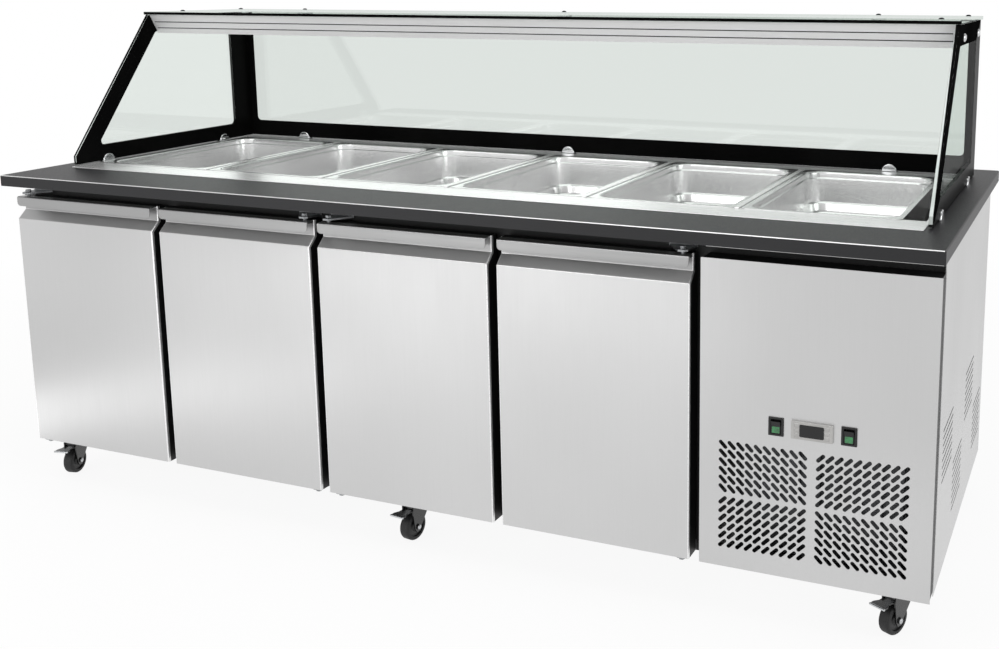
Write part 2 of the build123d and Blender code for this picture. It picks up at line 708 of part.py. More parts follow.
def angle_bracket(corner, toward, along):
    """Small angle under the top glass: one leg on an upright glass, one under the top."""
    length, leg, thick = BRACKET
    start_x = corner[0] - along[0] * length / 2
    start_y = corner[1] - along[1] * length / 2
    profile = [(0, 0), (leg, 0), (leg, -thick), (thick, -thick), (thick, -leg), (0, -leg)]
    points = [(start_x + toward[0] * a, start_y + toward[1] * a, glass_head + b) for a, b in profile]
    return prism(points, (along[0], along[1], 0), length)


def top_screw_places():
    """Cap screws on the top glass: over the light rail, over the side angles and over the back angles."""
    leg = BRACKET[1]
    places = []
    for side in (-1, 1):
        places.append((side * (glass_inside - RAIL_SCREW_INSET), cap_places()[0]))
        places.append((side * (glass_inside - leg / 2), cap_places()[1]))
    for place in (-1, 0, 1):
        places.append((place * BACK_BRACKET_SPREAD, glass_back - GLASS - leg / 2))
    return places


def glass_fixings():
    """Clamps at the feet of the glasses, cap bolts near their tops, angles and screws of the top glass."""
    pieces = []
    radius, rise = TOP_SCREW
    for x, y in top_screw_places():
        pieces.append(drum((x, y, canopy_top), (0, 0, 1), radius, rise, TOP_SCREW_SIDES))
    for side in (-1, 1):
        middle = side * (glass_inside + GLASS / 2)
        for offset in CLAMP_FROM_FRONT:
            pieces.append(Pos(middle, side_glass_front + offset, worktop_top) * clamp(False))
        for y in cap_places():
            pieces.append(cap_bolt(side, y))
        pieces.append(angle_bracket((side * glass_inside, cap_places()[1]), (-side, 0), (0, 1)))
    for place in (-1, 0, 1):
        pieces.append(Pos(place * BACK_CLAMP_SPREAD, glass_back - GLASS / 2, worktop_top) * clamp(True))
        pieces.append(angle_bracket((place * BACK_BRACKET_SPREAD, glass_back - GLASS), (0, -1), (1, 0)))
    return pieces


def light_rail():
    """Aluminium rail: a grooved face that leans back, a flange under the top glass, and two end plates."""
    lean = radians(RAIL_LEAN)
    start = (top_glass_front + RAIL_SETBACK, glass_head)

    def on_face(down, inwards):
        """Point at a distance down the face and behind it."""
        y = start[0] + down * sin(lean) + inwards * cos(lean)
        return (y, start[1] - down * cos(lean) + inwards * sin(lean))

    outline = [start]
    down = 0.0
    for band in RAIL_BANDS[:-1]:
        down += band
        outline += [on_face(down, 0), on_face(down, RAIL_GROOVE_DEPTH)]
        down += RAIL_GROOVE
        outline += [on_face(down, RAIL_GROOVE_DEPTH), on_face(down, 0)]
    down += RAIL_BANDS[-1]
    depth, thick = RAIL_FLANGE
    flange_bottom = glass_head - thick
    inner_top = start[0] + RAIL_WALL / cos(lean) + thick * tan(lean)
    outline += [on_face(down, 0), on_face(down, RAIL_WALL), (inner_top, flange_bottom),
                (start[0] + depth, flange_bottom), (start[0] + depth, glass_head)]
    rail = prism([(-glass_inside, y, z) for y, z in outline], (1, 0, 0), 2 * glass_inside)
    foot = on_face(down, 0)
    plate = [start, foot, (start[0] + depth, foot[1]), (start[0] + depth, glass_head)]
    for x in (-glass_inside, glass_inside - RAIL_END):
        rail += prism([(x, y, z) for y, z in plate], (1, 0, 0), RAIL_END)
    return rail


def light_tube():
    """Half-round diffuser of the light strip, flat against the rail's flange."""
    radius = TUBE_WIDTH / 2
    half = glass_inside - RAIL_END - TUBE_END_GAP
    y = top_glass_front + RAIL_SETBACK + TUBE_SETBACK
    top = glass_head - RAIL_FLANGE[1]
    face = Circle(radius) - Pos(0, radius) * Rectangle(4 * radius, 2 * radius)
    placed = Plane(origin=(-half, y, top), x_dir=(0, 1, 0), z_dir=(1, 0, 0)) * face
    return extrude(placed, amount=2 * half, dir=(1, 0, 0))


# Doors and hinges
def pull_bend():
    """Height that the folded sheet loses on its inside at each bend of the pull."""
    return SHEET * tan(atan2(PULL_DEPTH, PULL_SLANT) / 2)


def door_skin(index):
    """Folded steel front: flat face, slant back to the finger recess, and a lip flush with the face."""
    left = door_left(index)
    inside = door_face + SHEET
    recess = door_face + PULL_DEPTH
    slant_foot = door_top - PULL_HEIGHT
    slant_head = slant_foot + PULL_SLANT
    lip_foot = door_top - LIP_HEIGHT
    under = door_top - SHEET
    profile = [(door_face, door_bottom), (door_face, slant_foot), (recess, slant_head), (recess, under),
               (inside, under), (inside, lip_foot), (door_face, lip_foot), (door_face, door_top),
               (recess + SHEET, door_top), (recess + SHEET, slant_head - pull_bend()),
               (inside, slant_foot - pull_bend()), (inside, door_bottom)]
    skin = prism([(left, y, z) for y, z in profile], (1, 0, 0), DOOR_WIDTH)
    corners = [edge for edge in skin.edges().filter_by(Axis.Y)
               if abs(edge.center().Z - lip_foot) < SHEET and edge.length < 2 * SHEET]
    skin = fillet(corners, LIP_CORNER)
    x = hinge_x(index)
    length, thick = PULL_PLATE
    near = left if hinged_left(index) else left + DOOR_WIDTH - length
    skin += block((near, inside, under - thick), (near + length, recess, under))
    return skin - pin_hole((x, hinge_y, under - 2 * thick), (0, 0, 1), PIN_RADIUS, PULL_HEIGHT)


def door_core(index):
    """Black foam-filled core behind the skin, with a raised inner panel and the lower pin's hole."""
    left = door_left(index)
    right = left + DOOR_WIDTH
    inside = door_face + SHEET
    behind = door_face + PULL_DEPTH + SHEET
    slant_foot = door_top - PULL_HEIGHT - pull_bend()
    profile = [(inside, door_bottom), (inside, slant_foot), (behind, slant_foot + PULL_SLANT),
               (behind, door_top), (door_back, door_top), (door_back, door_bottom)]
    core = prism([(left, y, z) for y, z in profile], (1, 0, 0), DOOR_WIDTH)
    inset = GASKET_INSET + GASKET_WIDTH + INNER_PANEL_GAP
    core += block((left + inset, door_back, door_bottom + inset),
                  (right - inset, door_back + INNER_PANEL_RISE, door_top - inset))
    return core - pin_hole((hinge_x(index), hinge_y, door_bottom), (0, 0, 1), PIN_RADIUS,
                           PIN_DEPTH + PIN_CLEARANCE)


def door_gasket(index):
    """Magnetic seal on the back of the door."""
    left = door_left(index)

    def ring(inset):
        """Rectangle inside the door's outline."""
        return front_rectangle(left + inset, left + DOOR_WIDTH - inset, door_bottom + inset, door_top - inset,
                               door_back)

    return pierced(ring(GASKET_INSET), [ring(GASKET_INSET + GASKET_WIDTH)], (0, 1, 0), GASKET_THICKNESS)


def hinge_arm(index, z0):
    """Flat arm from the front frame out to the hinge pin, wider at its foot."""
    x = hinge_x(index)
    outer, inner = HINGE_BASE
    turn = 1 if hinged_left(index) else -1
    half = HINGE_ARM_WIDTH / 2
    outline = [(-outer, frame_front), (inner, frame_front), (half, hinge_y - half / 2),
               (half / 2, hinge_y - half), (-half / 2, hinge_y - half), (-half, hinge_y - half / 2)]
    return prism([(x + turn * a, y, z0) for a, y in outline], (0, 0, 1), HINGE_PLATE)


def hinge_flange(index, z0):
    """Upright foot of the arm on the face of the front frame."""
    x = hinge_x(index)
    outer, inner = HINGE_BASE
    turn = 1 if hinged_left(index) else -1
    ends = sorted((x - turn * outer, x + turn * inner))
    return block((ends[0], frame_front - HINGE_FLANGE, z0), (ends[1], frame_front, z0 + HINGE_FLANGE_HEIGHT))


def hinge_stud(index, z0):
    """Hexagon head of the pin on the far side of its arm."""
    return Pos(hinge_x(index), hinge_y, z0) * extrude(RegularPolygon(STUD_RADIUS, 6), amount=STUD_HEIGHT)


def upper_hinge(index):
    """Arm above the door, its pin reaching down through the plate in the pull."""
    arm = door_top + HINGE_TOP_GAP
    bracket = hinge_arm(index, arm) + hinge_flange(index, arm) + hinge_stud(index, arm + HINGE_PLATE)
    return bracket + pin((hinge_x(index), hinge_y, arm), (0, 0, -1), PIN_RADIUS, HINGE_TOP_GAP + PIN_DEPTH)


def lower_hinge(index):
    """Arm that carries the door, its pin reaching up into the core."""
    arm = door_bottom - HINGE_REST_GAP - HINGE_PLATE
    bracket = hinge_arm(index, arm) + hinge_flange(index, arm) + hinge_stud(index, arm - STUD_HEIGHT)
    return bracket + pin((hinge_x(index), hinge_y, arm), (0, 0, 1), PIN_RADIUS,
                         HINGE_PLATE + HINGE_REST_GAP + PIN_DEPTH)


# Castors
def castor_places():
    """Stems of the castors: three in front from left to right, then three behind."""
    xs = (body_left + CASTOR_LEFT_INSET, CASTOR_MIDDLE_SHIFT, body_right - CASTOR_RIGHT_INSET)
    ys = (frame_front + CASTOR_FRONT_INSET, body_back - CASTOR_BACK_INSET)
    return [(x, y) for y in ys for x in xs]


def placed_castor(number, shape):
    """Castor part turned to its rest angle and set on its stem; local +X is the trailing side."""
    x, y = castor_places()[number]
    return Pos(x, y, 0) * Rot(0, 0, CASTOR_TURN[number]) * shape


def castor_plate(number):
    """Screw-on plate with the swivel cup under it."""
    size, thick = CASTOR_PLATE
    x, y = castor_places()[number]
    plate_bottom = cabinet_bottom - thick
    cup_bottom = plate_bottom - SWIVEL_CUP_HEIGHT
    plate = block((x - size / 2, y - size / 2, plate_bottom), (x + size / 2, y + size / 2, cabinet_bottom))
    plate += drum((x, y, cup_bottom), (0, 0, 1), SWIVEL_CUP_RADIUS, SWIVEL_CUP_HEIGHT)
    return plate - pin_hole((x, y, cup_bottom), (0, 0, 1), KINGPIN_RADIUS, SWIVEL_CUP_HEIGHT)


def castor_crown():
    """Top of the fork, just under the swivel cup."""
    return cabinet_bottom - CASTOR_PLATE[1] - SWIVEL_CUP_HEIGHT - SWIVEL_GAP


def pedal_axis():
    """Brake pin in the castor's own frame."""
    return (CASTOR_TRAIL + PEDAL_PIVOT[0], 2 * WHEEL_RADIUS + PEDAL_PIVOT[1])


def castor_fork(number, braked):
    """Folded fork with kingpin, axle and nuts, and the brake pin on the braked castors."""
    crown = castor_crown()
    under = crown - FORK_CROWN
    gap = WHEEL_WIDTH / 2 + WHEEL_PLAY
    outer = gap + FORK_PLATE
    front = -SWIVEL_CUP_RADIUS
    back = pedal_axis()[0] + PEDAL_BARREL
    fork = block((front, -outer, under), (CASTOR_TRAIL, outer, crown))
    leg = [(front, under), (CASTOR_TRAIL - FORK_FOOT, WHEEL_RADIUS), (CASTOR_TRAIL - FORK_FOOT / 2,
           WHEEL_RADIUS - FORK_FOOT), (CASTOR_TRAIL + FORK_FOOT / 2, WHEEL_RADIUS - FORK_FOOT),
           (CASTOR_TRAIL + FORK_FOOT, WHEEL_RADIUS), (back, pedal_axis()[1] - PEDAL_BARREL), (back, crown),
           (front, crown)]
    for y in (-outer, gap):
        fork += prism([(x, y, z) for x, z in leg], (0, 1, 0), FORK_PLATE)
    fork += pin((0, 0, crown - FORK_CROWN), (0, 0, 1), KINGPIN_RADIUS, FORK_CROWN + SWIVEL_CUP_HEIGHT)
    fork += pin((CASTOR_TRAIL, -outer, WHEEL_RADIUS), (0, 1, 0), AXLE_RADIUS, 2 * outer)
    for side in (-1, 1):
        fork += drum((CASTOR_TRAIL, side * outer, WHEEL_RADIUS), (0, side, 0), AXLE_NUT, FORK_PLATE, 6)
    if braked:
        x, z = pedal_axis()
        fork += pin((x, -outer, z), (0, 1, 0), PEDAL_PIN, 2 * outer)
    return placed_castor(number, fork)


def castor_wheel(number):
    """Wheel with a bore for the axle."""
    start = (CASTOR_TRAIL, -WHEEL_WIDTH / 2, WHEEL_RADIUS)
    wheel = drum(start, (0, 1, 0), WHEEL_RADIUS, WHEEL_WIDTH, WHEEL_SIDES)
    wheel -= pin_hole(start, (0, 1, 0), AXLE_RADIUS, WHEEL_WIDTH)
    return placed_castor(number, wheel)


def brake_pedal(number):
    """Flared pedal on a barrel round the brake pin."""
    x, z = pedal_axis()
    half = WHEEL_WIDTH / 2
    barrel = pin((x, -half, z), (0, 1, 0), PEDAL_BARREL, WHEEL_WIDTH)
    edge = [(0.0, half), (PEDAL_FLARE[0], half), (PEDAL_FLARE[1], PEDAL_WIDTH / 2),
            (PEDAL_REACH, PEDAL_WIDTH / 2)]
    tread = edge + [(a, -b) for a, b in reversed(edge)]
    pedal = barrel + prism([(x + a, b, z) for a, b in tread], (0, 0, 1), PEDAL_PLATE)
    pedal -= pin_hole((x, -PEDAL_WIDTH, z), (0, 1, 0), PEDAL_PIN, 2 * PEDAL_WIDTH)
    return placed_castor(number, pedal)


# Cooling machine
def fan(radius, centre):
    """Axial fan on the Y axis: hub with a bore for the motor shaft and pitched blades."""
    hub_radius, length = FAN_HUB
    chord, thick = FAN_BLADE
    rotor = drum((0, -length / 2, 0), (0, 1, 0), hub_radius, length)
    for blade in range(FAN_BLADES):
        reach = radius - hub_radius / 2
        paddle = Pos(0, 0, hub_radius / 2 + reach / 2) * Rot(0, 0, FAN_PITCH) * Box(chord, thick, reach)
        rotor += Rot(0, 360 * blade / FAN_BLADES, 0) * paddle
    rotor -= pin_hole((0, -length, 0), (0, 1, 0), SHAFT_RADIUS, 2 * length)
    return Pos(*centre) * rotor


def fan_motor(centre, plate_y, radius):
    """Motor behind a fan, held by two arms from the shroud, with its shaft in the fan's hub."""
    x, y, z = centre
    hub_length = FAN_HUB[1]
    motor_radius, motor_length = MOTOR
    motor_front = y + hub_length / 2 + FAN_GAP
    arm_width, arm_thick = MOTOR_ARM
    motor = drum((x, motor_front, z), (0, 1, 0), motor_radius, motor_length)
    motor += pin((x, motor_front, z), (0, -1, 0), SHAFT_RADIUS, FAN_GAP + hub_length)
    reach = radius + FAN_TIP_GAP + arm_width / 2
    motor += block((x - reach, motor_front + motor_length / 2, z - arm_width / 2),
                   (x + reach, motor_front + motor_length / 2 + arm_thick, z + arm_width / 2))
    for side in (-1, 1):
        post = x + side * reach
        motor += block((post - arm_thick / 2, plate_y, z - arm_width / 2),
                       (post + arm_thick / 2, motor_front + motor_length / 2 + arm_thick, z + arm_width / 2))
    return motor


def finned_block(low, high, pitch):
    """Coil block with upright fins standing out in front."""
    body = block((low[0], low[1] + FIN_RISE, low[2]), high)
    count = int((high[0] - low[0] - FIN) // pitch)
    start = (low[0] + high[0] - count * pitch - FIN) / 2
    fins = [block((start + k * pitch, low[1], low[2]), (start + k * pitch + FIN, low[1] + FIN_RISE, high[2]))
            for k in range(count + 1)]
    return body.fuse(*fins)


def condenser_centre():
    """Middle of the condenser fan."""
    _, depth, height = CONDENSER
    front = frame_front + CONDENSER_SETBACK
    y = front + depth + SHROUD + FAN_GAP + FAN_HUB[1] / 2
    return (machine_middle, y, tray_top + CONDENSER_FOOT[1] + height / 2)


def condenser():
    """Finned condenser on two feet, with the fan shroud, motor arms and motor behind it."""
    width, depth, height = CONDENSER
    front = frame_front + CONDENSER_SETBACK
    foot_width, foot_height = CONDENSER_FOOT
    foot = tray_top + foot_height
    left = machine_middle - width / 2
    coil = finned_block((left, front, foot), (left + width, front + depth, foot + height),
                        CONDENSER_FIN_PITCH)
    for x in (left, left + width - foot_width):
        coil += block((x, front, tray_top), (x + foot_width, front + depth, foot))
    x, y, z = condenser_centre()
    shroud = block((left, front + depth, foot), (left + width, front + depth + SHROUD, foot + height))
    shroud -= drum((x, front + depth, z), (0, 1, 0), FAN_RADIUS + FAN_TIP_GAP, SHROUD)
    return coil + shroud + fan_motor((x, y, z), front + depth + SHROUD, FAN_RADIUS)


def compressor():
    """Hermetic compressor: a domed pot on a plate with four rubber feet."""
    length, depth, thick = COMPRESSOR_PLATE
    foot_radius, foot_height = COMPRESSOR_FOOT
    x = machine_middle
    y = body_back - COMPRESSOR_FROM_BACK
    plate_bottom = tray_top + foot_height
    body = block((x - length / 2, y - depth / 2, plate_bottom),
                 (x + length / 2, y + depth / 2, plate_bottom + thick))
    for a in (-1, 1):
        for b in (-1, 1):
            foot_x = x + a * (length / 2 - 2 * foot_radius)
            foot_y = y + b * (depth / 2 - 2 * foot_radius)
            body += block((foot_x - foot_radius, foot_y - foot_radius, tray_top),
                          (foot_x + foot_radius, foot_y + foot_radius, plate_bottom))
    pot = drum((x, y, plate_bottom + thick), (0, 0, 1), COMPRESSOR_RADIUS, COMPRESSOR_HEIGHT)
    return body + chamfer(pot.faces().sort_by(Axis.Z)[-1].edges(), COMPRESSOR_DOME)


def evaporator_centre():
    """Middle of the evaporator fan."""
    depth = EVAPORATOR[1]
    top = cabinet_top - EVAPORATOR_DROP
    y = room_back - depth - SHROUD - FAN_GAP - FAN_HUB[1] / 2
    return (0.0, y, top - EVAPORATOR[2] / 2)


def evaporator():
    """Finned coil on the back wall of the cold room, with a plate for its fan and motor in front."""
    width, depth, height = EVAPORATOR
    top = cabinet_top - EVAPORATOR_DROP
    coil = finned_block((-width / 2, room_back - depth, top - height), (width / 2, room_back, top),
                        EVAPORATOR_FIN_PITCH)
    x, y, z = evaporator_centre()
    plate_front = room_back - depth - SHROUD
    plate = block((-width / 2, plate_front, top - height), (width / 2, room_back - depth, top))
    plate -= drum((x, plate_front, z), (0, 1, 0), EVAPORATOR_FAN_RADIUS + FAN_TIP_GAP, SHROUD)
    shaft_front = y - FAN_HUB[1] / 2
    shaft = pin((x, shaft_front, z), (0, 1, 0), SHAFT_RADIUS, room_back - depth + FIN_RISE - shaft_front)
    return coil + plate + shaft


# Shelves
def shelf_bay(index):
    """Left and right limits of the shelf behind a door."""
    left = door_left(index) + OPENING_INSET
    return left + SHELF_PLAY, left + DOOR_WIDTH - 2 * OPENING_INSET - SHELF_PLAY


def shelf(index):
    """Wire shelf: a rim of thick wire and cross wires."""
    left, right = shelf_bay(index)
    z = base_top + SHELF_HEIGHT
    front = frame_back + SHELF_PLAY
    back = front + SHELF_DEPTH
    wire = SHELF_WIRE
    rim = pierced(level_rectangle(left, right, front, back, z),
                  [level_rectangle(left + wire, right - wire, front + wire, back - wire, z)], (0, 0, 1), wire)
    pitch = (right - left - wire) / (SHELF_CROSS_WIRES + 1)
    half = SHELF_CROSS_WIRE / 2
    wires = [block((left + wire / 2 + k * pitch - half, front + wire / 2, z + wire - SHELF_CROSS_WIRE),
                   (left + wire / 2 + k * pitch + half, back - wire / 2, z + wire))
             for k in range(1, SHELF_CROSS_WIRES + 1)]
    return rim.fuse(*wires)


def shelf_rail(x, turn):
    """Angle under one side of a shelf, from the front uprights to the back wall."""
    leg, thick = RAIL_ANGLE
    z = base_top + SHELF_HEIGHT
    profile = [(0, 0), (leg, 0), (leg, -thick), (thick, -thick), (thick, -leg), (0, -leg)]
    start = frame_back + SHELF_PLAY
    points = [(x + turn * a, start, z + b) for a, b in profile]
    return prism(points, (0, 1, 0), room_back - start)


def shelf_set():
    """Shelves, the rails under them, and uprights behind the frame and on the back wall."""
    pieces = []
    width, depth = UPRIGHT
    rail_foot = base_top + SHELF_HEIGHT - RAIL_ANGLE[0]
    for index in range(DOOR_COUNT):
        left, right = shelf_bay(index)
        pieces.append(shelf(index))
        for x, turn in ((left - RAIL_ANGLE[1], 1), (right + RAIL_ANGLE[1], -1)):
            pieces.append(shelf_rail(x, turn))
            near, far = sorted((x, x + turn * width))
            for y in (frame_back + SHELF_PLAY, room_back - depth):
                pieces.append(block((near, y, base_top), (far, y + depth, rail_foot)))
    return pieces


def main():
    """Write every sub-part."""
    os.makedirs("parts", exist_ok=True)
    save("cabinet_base", cabinet_base())
    save("left_end_panel", left_end_panel())
    save("cabinet_back", cabinet_back())
    save("machine_bulkhead", machine_bulkhead())
    save("front_frame", front_frame())
    save("machine_front_panel", machine_front_panel())
    save("machine_panel_surround", machine_panel_surround())
    save("machine_side_panel", machine_side_panel())
    save("machine_rear_panel", machine_rear_panel())
    save("temperature_controller", temperature_controller())
    left_switch, _, right_switch = control_places()
    save("switch_bezels", switch_bezel(left_switch), switch_bezel(right_switch))
    save("left_rocker", rocker(left_switch))
    save("right_rocker", rocker(right_switch))
    save("worktop", worktop())
    save("pan_frame", pan_frame())
    save("pan_dividers", *[divider(index) for index in range(pan_count - 1)])
    for index in range(pan_count):
        save(f"pan_{index + 1}", pan(index))
    save("left_glass", side_glass(-1))
    save("right_glass", side_glass(1))
    save("back_glass", back_glass())
    save("top_glass", top_glass())
    save("light_rail", light_rail())
    save("light_tube", light_tube())
    save("glass_fixings", *glass_fixings())
    brackets = []
    for index in range(DOOR_COUNT):
        save(f"door_{index + 1}_skin", door_skin(index))
        save(f"door_{index + 1}_core", door_core(index), door_gasket(index))
        brackets += [upper_hinge(index), lower_hinge(index)]
    save("hinge_brackets", *brackets)
    numbers = range(len(castor_places()))
    save("castor_plates", *[castor_plate(number) for number in numbers])
    for number in numbers:
        braked = number < len(castor_places()) // 2
        save(f"castor_{number + 1}_fork", castor_fork(number, braked))
        save(f"castor_{number + 1}_wheel", castor_wheel(number))
        if braked:
            save(f"castor_{number + 1}_pedal", brake_pedal(number))
    save("compressor", compressor())
    save("condenser", condenser())
    save("condenser_fan", fan(FAN_RADIUS, condenser_centre()))
    save("evaporator", evaporator())
    save("evaporator_fan", fan(EVAPORATOR_FAN_RADIUS, evaporator_centre()))
    save("shelf_set", *shelf_set())


if __name__ == "__main__":
    main()
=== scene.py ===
"""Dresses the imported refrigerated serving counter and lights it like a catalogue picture."""
import json
import logging
from collections.abc import Sequence
from dataclasses import dataclass
from enum import Enum
from math import cos, pi, radians, sin, tan

import bmesh
import bpy
import numpy as np
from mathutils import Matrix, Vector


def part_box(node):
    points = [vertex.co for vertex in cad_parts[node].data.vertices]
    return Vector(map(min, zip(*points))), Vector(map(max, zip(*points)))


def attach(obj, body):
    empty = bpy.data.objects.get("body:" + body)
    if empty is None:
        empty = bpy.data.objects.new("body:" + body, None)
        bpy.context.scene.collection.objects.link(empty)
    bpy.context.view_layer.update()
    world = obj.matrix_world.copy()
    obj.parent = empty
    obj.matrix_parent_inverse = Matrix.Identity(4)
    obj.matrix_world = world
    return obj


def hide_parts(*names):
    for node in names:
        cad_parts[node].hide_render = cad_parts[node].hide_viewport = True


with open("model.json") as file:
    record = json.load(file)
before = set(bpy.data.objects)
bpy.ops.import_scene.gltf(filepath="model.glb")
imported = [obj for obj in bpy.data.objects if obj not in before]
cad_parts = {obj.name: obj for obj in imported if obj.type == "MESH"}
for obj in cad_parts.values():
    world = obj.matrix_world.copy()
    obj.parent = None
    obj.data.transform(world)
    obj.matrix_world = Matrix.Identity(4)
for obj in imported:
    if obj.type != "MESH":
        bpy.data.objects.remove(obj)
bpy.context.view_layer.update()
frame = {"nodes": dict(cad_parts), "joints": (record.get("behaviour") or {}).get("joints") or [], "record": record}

Array = np.ndarray
MM = 0.001               # the frame is in metres, the sizes below are in millimetres
RIGHT, BACK, UP = np.eye(3)
LOG = logging.getLogger("serving_counter")
JOINTS = {joint["name"]: joint for joint in frame["joints"]}
SLOTS = {part["node"]: part["material_slot"] for part in frame["record"]["subparts"]}
SIDES = ((-1, "left_glass"), (1, "right_glass"))
SHEET_EDGE = 0.45        # radius of a cut sheet's edges, as a share of its thickness
MERGE = 0.004            # points of one piece that lie closer than this become one
DOME_SWEEP = 0.48 * pi   # a domed head's arc stops short of its pole, where a small cap closes it
DOME_POINTS = 6
UPRIGHT_AXIS = 0.9       # an axis that rises by more than this counts as upright


# Node and mesh helpers
def linear(code: str) -> tuple[float, float, float, float]:
    """Turns an sRGB hex colour into the linear colour that shaders take.

    Args:
        code: Six hex digits.

    Returns:
        Red, green, blue and an alpha of one.
    """
    shares = np.array([int(code[i:i + 2], 16) / 255 for i in (0, 2, 4)])
    spread = np.where(shares <= 0.04045, shares / 12.92, ((shares + 0.055) / 1.055) ** 2.4)
    return (*spread.tolist(), 1.0)


def add_node(tree: bpy.types.NodeTree, kind: str, sockets: dict | None = None,
             **settings: object) -> bpy.types.Node:
    """Adds a node with its settings, and sets or links its inputs.

    Args:
        tree: The node tree.
        kind: Blender's name for the node.
        sockets: Input name or number, with the value or the output socket that it takes.
        settings: Properties of the node itself.

    Returns:
        The new node.
    """
    node = tree.nodes.new(kind)
    for key, value in settings.items():
        setattr(node, key, value)
    for key, value in (sockets or {}).items():
        if isinstance(value, bpy.types.NodeSocket):
            tree.links.new(value, node.inputs[key])
        else:
            node.inputs[key].default_value = value
    return node


def seen_rays(tree: bpy.types.NodeTree) -> bpy.types.NodeSocket:
    """Adds the test for what is seen: from the camera, off gloss or through glass.

    Args:
        tree: The node tree.

    Returns:
        Socket that is one for such rays, else zero.
    """
    path = add_node(tree, "ShaderNodeLightPath").outputs
    direct = add_node(tree, "ShaderNodeMath", {0: path["Is Camera Ray"], 1: path["Is Glossy Ray"]},
                      operation="MAXIMUM").outputs[0]
    return add_node(tree, "ShaderNodeMath", {0: direct, 1: path["Is Transmission Ray"]},
                    operation="MAXIMUM").outputs[0]


def extent(node: str) -> tuple[Array, Array]:
    """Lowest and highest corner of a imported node, in millimetres."""
    low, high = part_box(node)
    return np.array(low) / MM, np.array(high) / MM


def quarter_turn(points: int) -> Array:
    """Angles from zero to a right angle in even steps."""
    return np.linspace(0, pi / 2, points)


@dataclass
class Patch:
    """Points in millimetres with the faces over them, and which of the piece's finishes they wear."""

    points: Array
    faces: list[Array]
    finish: int = 0


def grid_patch(points: Array, round_rows: bool = False, round_columns: bool = False,
               finish: int = 0) -> Patch:
    """Lays quads over a grid of points.

    Args:
        points: Grid of shape (rows, columns, 3).
        round_rows: Joins the last row back to the first.
        round_columns: Joins the last column back to the first.
        finish: Number of the finish.

    Returns:
        The patch.
    """
    rows, columns = points.shape[:2]
    index = np.arange(rows * columns).reshape(rows, columns)
    if round_rows:
        index = np.vstack([index, index[:1]])
    if round_columns:
        index = np.hstack([index, index[:, :1]])
    quads = np.stack([index[:-1, :-1], index[:-1, 1:], index[1:, 1:], index[1:, :-1]], axis=-1)
    return Patch(points.reshape(-1, 3), [quads.reshape(-1, 4)], finish)


def cap_patch(ring: Array, finish: int = 0) -> Patch:
    """One flat face over a closed ring of points."""
    return Patch(ring, [np.arange(len(ring))[None, :]], finish)


def tube_patches(grid: Array, finish: int = 0) -> list[Patch]:
    """Rows of a grid as rings of a tube, with a cap on the first and on the last."""
    ends = [cap_patch(grid[row], finish) for row in (0, -1)]
    return [grid_patch(grid, round_columns=True, finish=finish), *ends]


def rounded_outline(corners: Sequence, radii: Sequence, steps: int = 5) -> Array:
    """Closed outline with arcs for corners.

    Each arc's centre lies on the corner's bisector, at the radius over the sine of half the corner's angle.
    The arc turns evenly between its tangent points, as a sine-weighted sum of the two radius vectors.

    Args:
        corners: Corner points in order, shape (n, 2).
        radii: Radius at each corner.
        steps: Straight steps in each arc.

    Returns:
        Points of shape (n * (steps + 1), 2).
    """
    points = np.asarray(corners, float)
    radius = np.asarray(radii, float)[:, None]
    back = np.roll(points, 1, axis=0) - points
    ahead = np.roll(points, -1, axis=0) - points
    back /= np.linalg.norm(back, axis=1, keepdims=True)
    ahead /= np.linalg.norm(ahead, axis=1, keepdims=True)
    half = np.arccos(np.clip((back * ahead).sum(axis=1, keepdims=True), -1, 1)) / 2
    bisector = (back + ahead) / np.linalg.norm(back + ahead, axis=1, keepdims=True)
    centre = points + bisector * radius / np.sin(half)
    first = points + back * radius / np.tan(half) - centre
    last = points + ahead * radius / np.tan(half) - centre
    sweep = (pi - 2 * half)[:, :, None]
    share = np.linspace(0, 1, steps + 1)[None, :, None]
    weighted = np.sin((1 - share) * sweep) * first[:, None] + np.sin(share * sweep) * last[:, None]
    return (centre[:, None] + weighted / np.sin(sweep)).reshape(-1, 2)


def rounded_box(low: Sequence, high: Sequence, radii: Sequence, steps: int) -> Array:
    """Rectangle with rounded corners.

    Args:
        low: Lowest corner.
        high: Highest corner.
        radii: Radius at each corner, from the lowest one anticlockwise.
        steps: Straight steps in each arc.

    Returns:
        Points of the outline.
    """
    return rounded_outline([low, (high[0], low[1]), high, (low[0], high[1])], radii, steps)


def prism_patches(outline: Array, start: Sequence, across: Sequence, up: Sequence, along: Sequence,
                  stations: Sequence) -> list[Patch]:
    """Carries a closed outline along a straight path and closes both ends.

    Args:
        outline: Points of shape (n, 2).
        start: Where the outline's zero lies.
        across: Unit vector of the outline's first coordinate.
        up: Unit vector of the outline's second coordinate.
        along: Unit vector of the path.
        stations: Distances along the path.

    Returns:
        The side and the two ends.
    """
    flat = np.asarray(start, float) + outline[:, :1] * np.asarray(across) + outline[:, 1:] * np.asarray(up)
    return tube_patches(flat + np.asarray(stations, float)[:, None, None] * np.asarray(along, float))


def bar_patches(outline: Array, left: float, right: float) -> list[Patch]:
    """Carries an outline in y and z from left to right."""
    return prism_patches(outline, (0, 0, 0), BACK, UP, RIGHT, [left, right])


